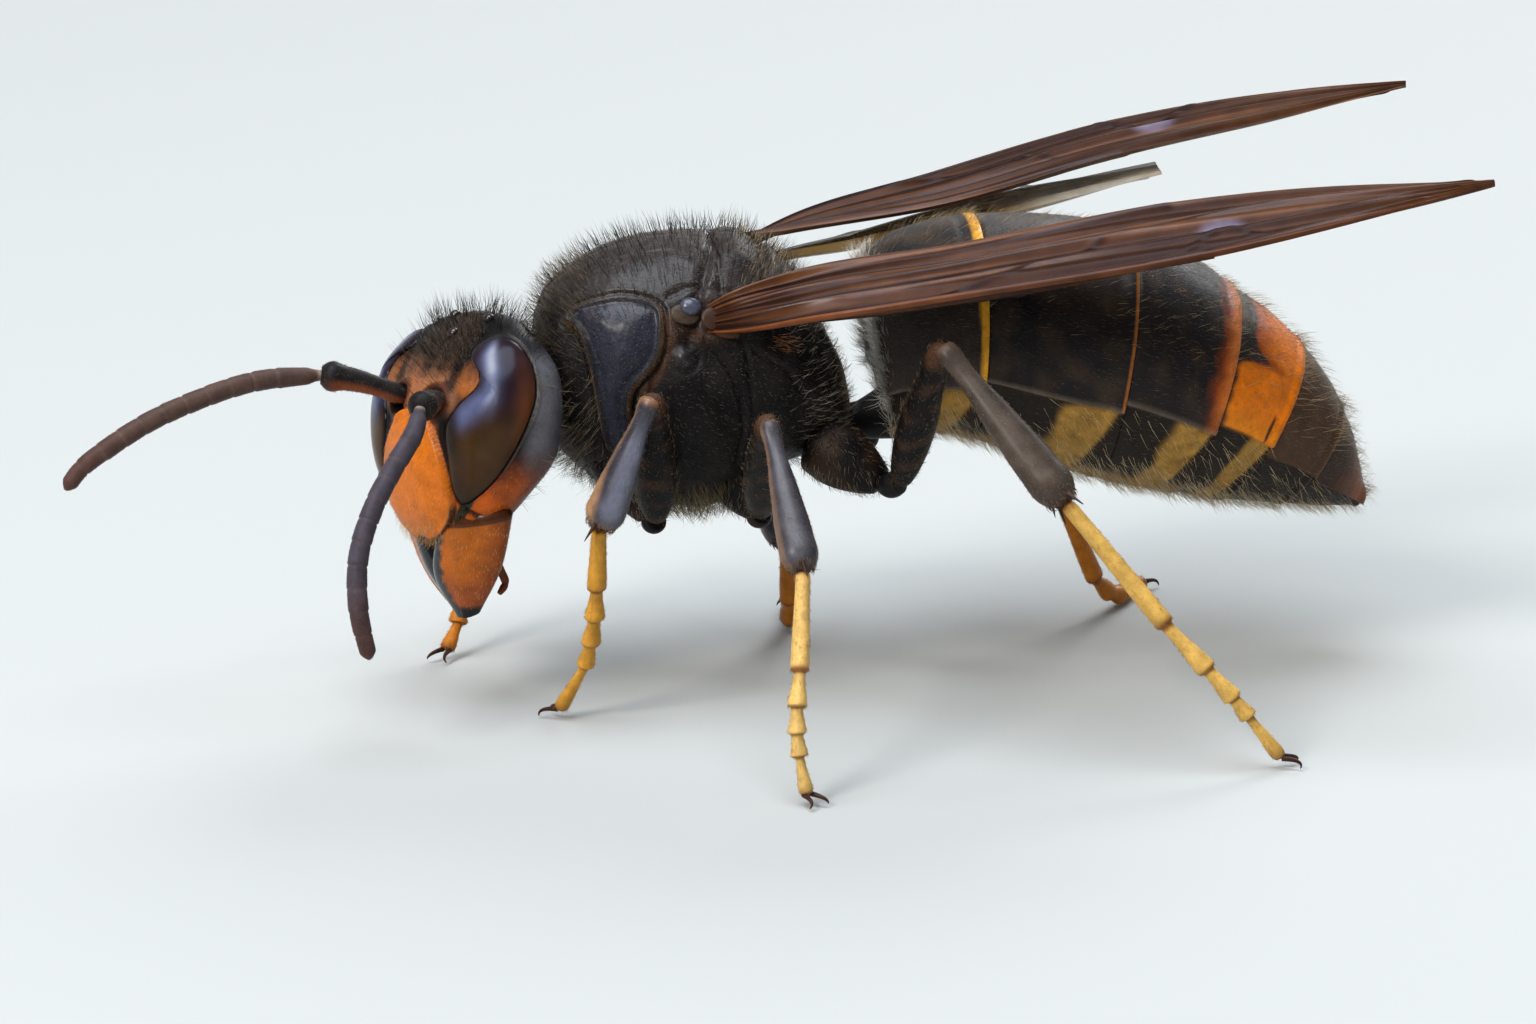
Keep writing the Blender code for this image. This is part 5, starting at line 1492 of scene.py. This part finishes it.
def bed(skin, count, seed, length, weight, lift, aim, half, tint, curl=0.5, own=0.0, stray=0.25):
    """Hairs on one skin: where they root, how they stand, and their colour.

    Roots fall on the grid's cells by area times weight. Each hair leans from the skin's normal towards aim,
    lift being the sine of its rise, and bends on towards aim by curl at half its length. own is the share
    of the skin's own colour in the hair's, and stray spreads the aims.
    """
    random = np.random.default_rng(seed)
    count = int(count * settings().coat_density)
    grid, colours = skin["grid"], skin["colours"]
    rows, columns = grid.shape[:2]
    weight = np.broadcast_to(weight, (rows, columns))
    following = np.roll(grid, -1, axis=1)
    area = np.linalg.norm(np.cross(following[:-1] - grid[:-1], grid[1:] - grid[:-1]), axis=-1) * weight[:-1]
    share = np.maximum(area, 0).ravel() + 1e-12
    cells = random.choice(len(share), size=count, p=share / share.sum())
    i, j = np.divmod(cells, columns)
    a, b = random.random((2, count))
    k = (j + 1) % columns
    corners = ((i, j, (1 - a) * (1 - b)), (i, k, a * (1 - b)), (i + 1, j, (1 - a) * b), (i + 1, k, a * b))
    root = sum(grid[r, c] * w[:, None] for r, c, w in corners)
    if "normal" not in skin:
        skin["normal"] = outward(grid)
    normal = unit(sum(skin["normal"][r, c] * w[:, None] for r, c, w in corners))

    def at_roots(field, *more):
        """A field's value at each root, with any more dimensions that it has."""
        return np.broadcast_to(field, (rows, columns, *more))[i, j]

    aim = at_roots(aim, 3) + random.normal(size=(count, 3)) * stray
    lean = unit(aim - normal * (aim * normal).sum(axis=-1, keepdims=True))
    lift = np.clip(at_roots(lift) + random.normal(size=count) * 0.10, 0.04, 1.0)[:, None]
    heading = normal * lift + lean * np.sqrt(1 - lift ** 2)
    reach = (at_roots(length) * settings().coat_length * random.uniform(0.65, 1.2, count))[:, None]
    middle = root + heading * reach * 0.5
    tip = middle + unit(heading + lean * curl) * reach * 0.5
    side = unit(np.cross(heading, random.normal(size=(count, 3))))
    other = np.cross(heading, side)
    thick = (at_roots(half) * random.uniform(0.8, 1.2, count))[:, None]
    points = []
    for level, share in ((root - normal * 0.02, 1.0), (middle, 0.72)):
        for number in range(3):
            turn = number * 2 * math.pi / 3
            points.append(level + (side * math.cos(turn) + other * math.sin(turn)) * thick * share)
    points.append(tip)
    tone = mix(tint, at_roots(colours, 3), own) * random.uniform(0.75, 1.3, (count, 1))
    place = np.stack([(j + a) / columns, (i + b) / (rows - 1)], axis=-1)
    return np.stack(points, axis=1), tone, place


def coat(name, beds):
    """One mesh of three-sided spikes: each bed has a tile of the map, and each hair a speck in it."""
    tiles = math.ceil(math.sqrt(len(beds)))
    speck = 0.003
    corner_place = np.array([(0, 0), (0.5, 0), (1, 0), (0, 0.6), (0.5, 0.6), (1, 0.6), (0.5, 1)]) * speck
    sides = np.array([(0, 1, 4, 3), (1, 2, 5, 4), (2, 0, 3, 5)])
    ends = np.array([(3, 4, 6), (4, 5, 6), (5, 3, 6), (0, 2, 1)])
    points, tones, places = [], [], []
    for number, (spikes, tone, place) in enumerate(beds):
        tile = np.array([number % tiles, number // tiles])
        points.append(spikes)
        tones.append(np.stack([tone * 0.85] * 3 + [tone] * 3 + [tone * 1.25], axis=1))
        places.append((tile + np.clip(place, 0, 1) * (1 - speck * tiles)) / tiles)
    points, tones, places = (np.concatenate(part) for part in (points, tones, places))
    first = (np.arange(len(points)) * 7)[:, None, None]
    quads = (first + sides).reshape(-1, 4)
    triangles = (first + ends).reshape(-1, 3)
    uv = np.concatenate([(places[:, None, None] + corner_place[sides]).reshape(-1, 2),
                         (places[:, None, None] + corner_place[ends]).reshape(-1, 2)])
    mesh = mesh_of(name, points.reshape(-1, 3), quads, triangles, np.clip(tones, 0, 1).reshape(-1, 3), uv)
    piece(name, mesh, "hair")


DARK_HAIR = (0.022, 0.015, 0.010)
PALE_HAIR = (0.55, 0.44, 0.26)
DOWN = (0.0, 0.0, -1.0)


def make_head_coat():
    """Dark bristles on the crown, gold pile on the forehead, fine pale down on the face and the jaws."""
    skin = skins["head_shell"]
    height, side = skin["height"], skin["side"]
    bare = step(skin["eye"], -0.08, -0.14) * step(skin["socket"], 0.40, 0.50)
    crown = step(height, 1.55, 2.2) * bare
    temple = step(side, 6, -8) * step(height, -1.9, -1.2) * bare
    behind = step(side, -35, -60) * step(height, -2.0, -1.2)
    face = step(skin["clypeus"], -0.05, 0.05)
    cheek = step(height, -0.6, -1.2) * step(side, -30, 0) * bare * (1 - face)
    forehead = step(side, 55, 66) * step(height, 0.8, 1.1) * bare
    away = skin["grid"] - HEAD_MIDDLE
    bristly = crown + 0.45 * forehead + 0.3 * behind
    piled = (0.7 * crown + forehead) * step(side, 40, 60)
    lip = face * step(height, -1.7, -2.15)
    coat("head_bristles", [
        bed(skin, 900, 1, 0.44 + 0.26 * crown, bristly, 0.93, away, 0.0062, DARK_HAIR, 0.2, stray=0.15),
        bed(skin, 420, 2, 0.48, behind + 0.10 * temple, 0.75, (0.9, 0.1, -0.2), 0.0048, (0.20, 0.145, 0.08)),
    ])
    coat("head_down", [
        bed(skin, 1800, 3, 0.10, piled, 0.25, (-0.3, 0.0, 0.8), 0.0038, (0.22, 0.135, 0.075), own=0.4),
        bed(skin, 2000, 4, 0.10, face + 0.5 * cheek, 0.45, DOWN, 0.0038, (0.66, 0.38, 0.13), own=0.4),
        bed(skin, 2200, 5, 0.08, temple + 0.4 * cheek, 0.30, (0.5, 0.0, -0.7), 0.0045, (0.10, 0.085, 0.080)),
        bed(skin, 160, 6, 0.28, lip, 0.75, (-0.4, -0.2, -1.0), 0.005, (0.60, 0.34, 0.12)),
    ])
    beds = []
    for number, (name, _) in enumerate(SIDES):
        jaw = skins["jaw_" + name]
        pale = step(jaw["colours"][..., 0], 0.10, 0.30)
        scape, whip = skins["scape_shell_" + name], skins["whip_" + name]
        beds += [
            bed(jaw, 420, 7 + number, 0.11, pale, 0.35, DOWN, 0.0042, (0.85, 0.55, 0.22), own=0.25),
            bed(scape, 500, 9 + number, 0.08, 1.0, 0.5, (0.3, -0.3, -1.0), 0.0045, (0.10, 0.06, 0.04)),
            bed(whip, 1500, 11 + number, 0.045, 1.0, 0.5, (0.1, -0.1, -1.0), 0.004, (0.07, 0.05, 0.055)),
        ]
    coat("face_down", beds)


def make_thorax_coat():
    """Erect dark hairs on the back, a short brown pile, and long gold hairs below and at the neck."""
    skin = skins["thorax_shell"]
    grid = skin["grid"]
    x, z = grid[..., 0], grid[..., 2]
    behind_plate = step(np.linalg.norm((picture(grid) - (782, 344)) / (2, 1), axis=-1), 10, 4)
    back = step(z, 9.0, 10.4)
    flank = step(z, 9.8, 8.8) * step(z, 5.6, 6.4)
    belly = step(z, 6.0, 5.2)
    front = step(x, -4.2, -4.7)
    chest, throat = front * step(z, 8.8, 6.8), front * step(z, 8.2, 9.6)
    slope = step(x, 0.1, 0.7)
    up = grid - np.array([-1.8, 0.0, 6.0])
    coat("back_bristles", [
        bed(skin, 1500, 21, 0.40 + 0.20 * back, 0.02 + back, 0.95, up, 0.0066, DARK_HAIR, 0.2, stray=0.15),
        bed(skin, 900, 22, 0.36, slope, 0.7, (0.8, 0.0, 0.5), 0.0055, (0.34, 0.28, 0.20)),
        bed(skin, 450, 29, 0.45, back * step(x, -1.4, -0.6), 0.8, (0.5, 0.0, 1.0), 0.0060,
            (0.30, 0.21, 0.11)),
    ])
    coat("back_pile", [
        bed(skin, 8000, 23, 0.075, 1.0, 0.25, (0.8, 0.0, -0.5), 0.0036, (0.070, 0.052, 0.042), own=0.3),
        bed(skin, 7600, 24, 0.11, back + 0.1 * flank, 0.30, (0.9, 0.0, -0.2), 0.0034, (0.27, 0.190, 0.140)),
    ])
    coat("breast_hairs", [
        bed(skin, 2600, 25, 0.58, belly, 0.75, (0.2, 0.0, -1.0), 0.0065, (0.22, 0.165, 0.075)),
        bed(skin, 900, 26, 0.70, chest, 0.8, (-1.0, 0.0, -0.9), 0.0046, (0.24, 0.18, 0.095)),
        bed(skin, 620, 27, 0.58, throat, 0.9, (-1.0, 0.0, 1.0), 0.0046, (0.13, 0.090, 0.040)),
        bed(skin, 3400, 28, 0.13, flank, 0.40, (0.7, 0.0, -0.6), 0.0034, (0.125, 0.098, 0.068)),
        bed(skin, 110, 20, 0.30, behind_plate, 0.6, (0.8, 0.0, -0.2), 0.008, (0.36, 0.14, 0.035)),
    ])


def make_gaster_coat():
    """Short hairs lying back over the rings, a pale fringe below, and coarse silver hairs on the slope."""
    lying, fringe = [], []
    for number, edge in enumerate(PLATE_EDGES, 1):
        skin = skins[f"ring_{number}"]
        at, up = skin["at"], skin["up"]
        shown = step(at, number - 0.995, number - 0.93)
        small = (0.9, 1, 0.9, 0.7, 0.6, 0.4)[number - 1]
        rear = ridge(number - at - 0.03, 0.10)
        plate = shown * (0.6 + step(up, edge, 0.4))
        patch = shown * step(skin["colours"][..., 0], 0.12, 0.30) * step(up, edge, edge - 0.04)
        below = shown * (0.15 + step(up, -0.5, -0.85)) * step(up, edge + 0.05, edge - 0.1)
        lip = shown * (0.15 + rear) * step(up, 0.1, 0.8)
        lying.append(bed(skin, int(3400 * small), 30 + number, 0.17, plate, 0.16, (1.0, 0.0, -0.25), 0.0031,
                         (0.200, 0.150, 0.108), own=0.3, stray=0.10))
        if number < 5:
            fringe.append(bed(skin, int(900 * small), 62 + number, 0.17, patch, 0.45, (0.7, 0.0, -0.6),
                              0.0042, (0.56, 0.38, 0.12), 0.4, own=0.3))
        fringe.append(bed(skin, int(900 * small), 40 + number, 0.50, below, 0.55, (0.7, 0.0, -1.0), 0.0050,
                          PALE_HAIR, 0.4))
        fringe.append(bed(skin, int(420 * small), 50 + number, 0.34 + 0.22 * (number > 3), lip, 0.60,
                          (1.0, 0.0, 0.1), 0.0046, (0.38, 0.27, 0.13), 0.4))
    slope = skins["ring_1"]
    low, high = step(slope["at"], 0.26, 0.12), step(slope["at"], 0.20, 0.08)
    fringe.append(bed(slope, 1700, 60, 0.40, low, 0.62, (0.1, 0.0, 1.0), 0.0058, (0.46, 0.42, 0.36)))
    fringe.append(bed(slope, 700, 61, 0.62, high, 0.80, (-0.6, 0.0, 0.8), 0.0050, (0.52, 0.48, 0.42)))
    coat("ring_down", lying)
    coat("ring_fringe", fringe)


def make_leg_coat():
    """Gold fuzz along the thighs, pale bristles on shins and feet, and stiff spines at the shins' ends."""
    for place, pair in enumerate(COXA_HALF):
        beds = []
        for number, (name, _) in enumerate(SIDES):
            seed = 70 + 10 * number + 20 * place
            label = f"{pair}_{name}"
            _, femur, tarsus, _ = LEGS[label]
            along_thigh = unit(np.subtract(femur[1], femur[0]))
            along_shin = unit(np.subtract(tarsus[0], femur[1]))
            along_foot = unit(np.subtract(tarsus[1], tarsus[0]))
            hip, thigh, shin, foot = (skins[f"{part}_{label}"] for part in ("hip", "thigh", "shin", "foot"))
            end = step(np.linspace(0, 1, len(shin["grid"]))[:, None], 0.92, 0.97)
            beds += [
                bed(hip, 420, seed, 0.26, 1.0, 0.50, (0.2, 0.0, -1.0), 0.0065, (0.16, 0.12, 0.07)),
                bed(thigh, 700, seed + 1, 0.18, 1.0, 0.40, along_thigh, 0.0058, (0.18, 0.13, 0.07)),
                bed(shin, 800, seed + 2, 0.11, 1.0, 0.30, along_shin, 0.0045, (0.26, 0.20, 0.14), own=0.3),
                bed(shin, 120, seed + 3, 0.22, end, 0.40, along_shin, 0.011, (0.12, 0.055, 0.022)),
                bed(foot, 800, seed + 4, 0.11, 1.0, 0.32, along_foot, 0.0050, (0.36, 0.17, 0.04)),
            ]
        coat(f"leg_hairs_{pair}", beds)


# Stage


def make_stage():
    """Pale floor that curves up behind, soft lights over it, and the photograph's camera."""
    across = np.linspace(-600, 600, 3)
    run = np.linspace(0, 1, 40)
    bend = step(run, 0.55, 1.0)
    depth, rise = -500 + 1000 * run, 320 * bend ** 2
    grid = np.stack(np.broadcast_arrays(across[None, :], depth[:, None], rise[:, None]), axis=-1)
    quads, _ = grid_faces(len(run), len(across), False)
    mesh = mesh_of("floor", grid.reshape(-1, 3) + FLOOR_MIDDLE, quads)
    floor = placed("floor", mesh)
    made, tree, shader = new_material("floor_look")
    fill(tree, shader, Base_Color=(0.50, 0.51, 0.50, 1), Roughness=0.75)
    mesh.materials.append(made)
    lights = (
        ("sky", (-0.05, -0.03, 0.30), (0, 0, 0.006), 0.26, 1.10, (0.86, 0.93, 1.0)),
        ("key", (-0.22, -0.22, 0.24), (-0.004, 0, 0.007), 0.13, 1.00, (1.0, 0.97, 0.92)),
        ("back", (0.16, 0.26, 0.20), (0.002, 0, 0.008), 0.20, 0.65, (0.96, 0.98, 1.0)),
    )
    for name, place, target, size, power, colour in lights:
        lamp = bpy.data.lights.new(name, "AREA")
        lamp.shape, lamp.size, lamp.color = "DISK", size, colour
        lamp.energy = power * settings().studio_light
        holder = placed(name, lamp)
        back = unit(np.subtract(place, target))
        right = unit(np.cross((0, 0, 1.0), back))
        turned = np.column_stack([right, np.cross(back, right), back])
        holder.matrix_world = Matrix.Translation(place) @ Matrix(turned.tolist()).to_4x4()
    world = bpy.data.worlds.new("studio")
    world.use_nodes = True
    fill(world.node_tree, world.node_tree.nodes["Background"], Color=(0.80, 0.84, 0.86, 1),
         Strength=0.17 * settings().studio_light)
    bpy.context.scene.world = world
    bpy.context.scene.view_settings.view_transform = "Standard"
    make_camera()


def view_axes():
    """The camera's right, up and back, from its heading and its height over the horizon."""
    level = math.cos(VIEW_RISE)
    back = np.array([-math.sin(VIEW_TURN) * level, -math.cos(VIEW_TURN) * level, math.sin(VIEW_RISE)])
    right = np.array([math.cos(VIEW_TURN), -math.sin(VIEW_TURN), 0.0])
    return right, np.cross(back, right), back


def make_camera():
    """The photograph's camera, at its distance from the target."""
    axes = view_axes()
    data = bpy.data.cameras.new("camera")
    data.sensor_width = SENSOR_WIDTH
    data.lens = PIXELS_PER_MM * VIEW_DISTANCE / PHOTO_WIDTH * SENSOR_WIDTH
    data.clip_start = 0.001
    camera = placed("camera", data)
    place = (VIEW_TARGET - FLOOR_MIDDLE) * MM + axes[2] * settings().camera_distance
    turned = Matrix(np.column_stack(axes).tolist()).to_4x4()
    camera.matrix_world = Matrix.Translation(place.tolist()) @ turned
    bpy.context.scene.camera = camera


# Panel


class HornetSettings(bpy.types.PropertyGroup):
    """Choices for the build."""

    coat_density: bpy.props.FloatProperty(
        name="Coat density",
        description="Share of the full number of hairs",
        default=1.0,
        min=0.05,
        max=1.2,
        subtype="FACTOR",
    )
    coat_length: bpy.props.FloatProperty(
        name="Coat length",
        description="Length of the hairs against the animal's own",
        default=1.0,
        min=0.3,
        max=2.0,
        subtype="FACTOR",
    )
    wing_solidity: bpy.props.FloatProperty(
        name="Wing solidity",
        description="How little shows through the wings",
        default=1.0,
        min=0.2,
        max=1.2,
        subtype="FACTOR",
    )
    eye_colour: bpy.props.FloatVectorProperty(
        name="Eye colour",
        description="Colour of the lower half of each compound eye",
        default=(0.045, 0.021, 0.005),
        size=3,
        min=0.0,
        max=1.0,
        subtype="COLOR",
    )
    face_colour: bpy.props.FloatVectorProperty(
        name="Face colour",
        description="Orange of the face and the jaws",
        default=tuple(ORANGE),
        size=3,
        min=0.0,
        max=1.0,
        subtype="COLOR",
    )
    camera_distance: bpy.props.FloatProperty(
        name="Camera distance",
        description="Distance from the camera to the middle of the animal",
        default=VIEW_DISTANCE * MM,
        min=0.05,
        unit="LENGTH",
    )
    studio_light: bpy.props.FloatProperty(
        name="Studio light",
        description="Strength of the lamps and of the sky",
        default=1.0,
        min=0.1,
        max=4.0,
    )


def settings():
    """The build's choices, kept on the scene."""
    return bpy.context.scene.hornet


class HORNET_OT_stage(bpy.types.Operator):
    """Lay the floor and set the lamps and the camera."""

    bl_idname = "hornet.stage"
    bl_label = "Stage"
    bl_options = {"REGISTER", "UNDO"}

    def execute(self, context):
        make_stage()
        return {"FINISHED"}


class HORNET_OT_head(bpy.types.Operator):
    """Build the head's skin with its face, sockets and cheeks."""

    bl_idname = "hornet.head"
    bl_label = "Head"
    bl_options = {"REGISTER", "UNDO"}

    def execute(self, context):
        make_head()
        return {"FINISHED"}


class HORNET_OT_eyes(bpy.types.Operator):
    """Set the compound eyes and the three small ones."""

    bl_idname = "hornet.eyes"
    bl_label = "Eyes"
    bl_options = {"REGISTER", "UNDO"}

    def execute(self, context):
        make_eyes()
        make_ocelli()
        return {"FINISHED"}


class HORNET_OT_jaws(bpy.types.Operator):
    """Build the mandibles and the palps."""

    bl_idname = "hornet.jaws"
    bl_label = "Jaws"
    bl_options = {"REGISTER", "UNDO"}

    def execute(self, context):
        make_jaws()
        return {"FINISHED"}


class HORNET_OT_feelers(bpy.types.Operator):
    """Build both feelers, joint by joint."""

    bl_idname = "hornet.feelers"
    bl_label = "Feelers"
    bl_options = {"REGISTER", "UNDO"}

    def execute(self, context):
        make_feelers()
        return {"FINISHED"}


class HORNET_OT_thorax(bpy.types.Operator):
    """Build the thorax, neck and waist as skins."""

    bl_idname = "hornet.thorax"
    bl_label = "Thorax"
    bl_options = {"REGISTER", "UNDO"}

    def execute(self, context):
        make_thorax()
        make_neck()
        make_waist()
        make_wing_roots()
        return {"FINISHED"}


class HORNET_OT_gaster(bpy.types.Operator):
    """Build the six overlapping rings of the gaster."""

    bl_idname = "hornet.gaster"
    bl_label = "Gaster"
    bl_options = {"REGISTER", "UNDO"}

    def execute(self, context):
        make_gaster()
        return {"FINISHED"}


class HORNET_OT_legs(bpy.types.Operator):
    """Build the six legs with their feet and claws."""

    bl_idname = "hornet.legs"
    bl_label = "Legs"
    bl_options = {"REGISTER", "UNDO"}

    def execute(self, context):
        make_legs()
        return {"FINISHED"}


class HORNET_OT_wings(bpy.types.Operator):
    """Build the four wings as veined sheets."""

    bl_idname = "hornet.wings"
    bl_label = "Wings"
    bl_options = {"REGISTER", "UNDO"}

    def execute(self, context):
        make_wings()
        return {"FINISHED"}


class HORNET_OT_head_coat(bpy.types.Operator):
    """Grow the hairs of head, jaws and feelers."""

    bl_idname = "hornet.head_coat"
    bl_label = "Head coat"
    bl_options = {"REGISTER", "UNDO"}

    def execute(self, context):
        make_head_coat()
        return {"FINISHED"}


class HORNET_OT_thorax_coat(bpy.types.Operator):
    """Grow the hairs of the thorax."""

    bl_idname = "hornet.thorax_coat"
    bl_label = "Thorax coat"
    bl_options = {"REGISTER", "UNDO"}

    def execute(self, context):
        make_thorax_coat()
        return {"FINISHED"}


class HORNET_OT_gaster_coat(bpy.types.Operator):
    """Grow the hairs of the gaster."""

    bl_idname = "hornet.gaster_coat"
    bl_label = "Gaster coat"
    bl_options = {"REGISTER", "UNDO"}

    def execute(self, context):
        make_gaster_coat()
        return {"FINISHED"}


class HORNET_OT_leg_coat(bpy.types.Operator):
    """Grow the hairs of the legs."""

    bl_idname = "hornet.leg_coat"
    bl_label = "Leg coat"
    bl_options = {"REGISTER", "UNDO"}

    def execute(self, context):
        make_leg_coat()
        return {"FINISHED"}


BUILD_STEPS = (
    HORNET_OT_stage,
    HORNET_OT_head,
    HORNET_OT_eyes,
    HORNET_OT_jaws,
    HORNET_OT_feelers,
    HORNET_OT_thorax,
    HORNET_OT_gaster,
    HORNET_OT_legs,
    HORNET_OT_wings,
    HORNET_OT_head_coat,
    HORNET_OT_thorax_coat,
    HORNET_OT_gaster_coat,
    HORNET_OT_leg_coat,
)


class HORNET_PT_panel(bpy.types.Panel):
    """Lists the build's steps and choices in the 3D view's sidebar."""

    bl_idname = "HORNET_PT_panel"
    bl_label = "Asian Hornet"
    bl_space_type = "VIEW_3D"
    bl_region_type = "UI"
    bl_category = "Hornet"

    def draw(self, context):
        for choice in HornetSettings.__annotations__:
            self.layout.prop(context.scene.hornet, choice)
        for build_step in BUILD_STEPS:
            self.layout.operator(build_step.bl_idname)


CLASSES = (HornetSettings, *BUILD_STEPS, HORNET_PT_panel)


def register():
    """Adds the classes and the scene's settings."""
    for each in CLASSES:
        bpy.utils.register_class(each)
    bpy.types.Scene.hornet = bpy.props.PointerProperty(type=HornetSettings)


def unregister():
    """Takes the settings and the classes away again."""
    del bpy.types.Scene.hornet
    for each in reversed(CLASSES):
        bpy.utils.unregister_class(each)


def main():
    """Registers the classes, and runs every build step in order."""
    register()
    for build_step in BUILD_STEPS:
        group_name, step_name = build_step.bl_idname.split(".")
        getattr(getattr(bpy.ops, group_name), step_name)()


if __name__ == "__main__":
    main()
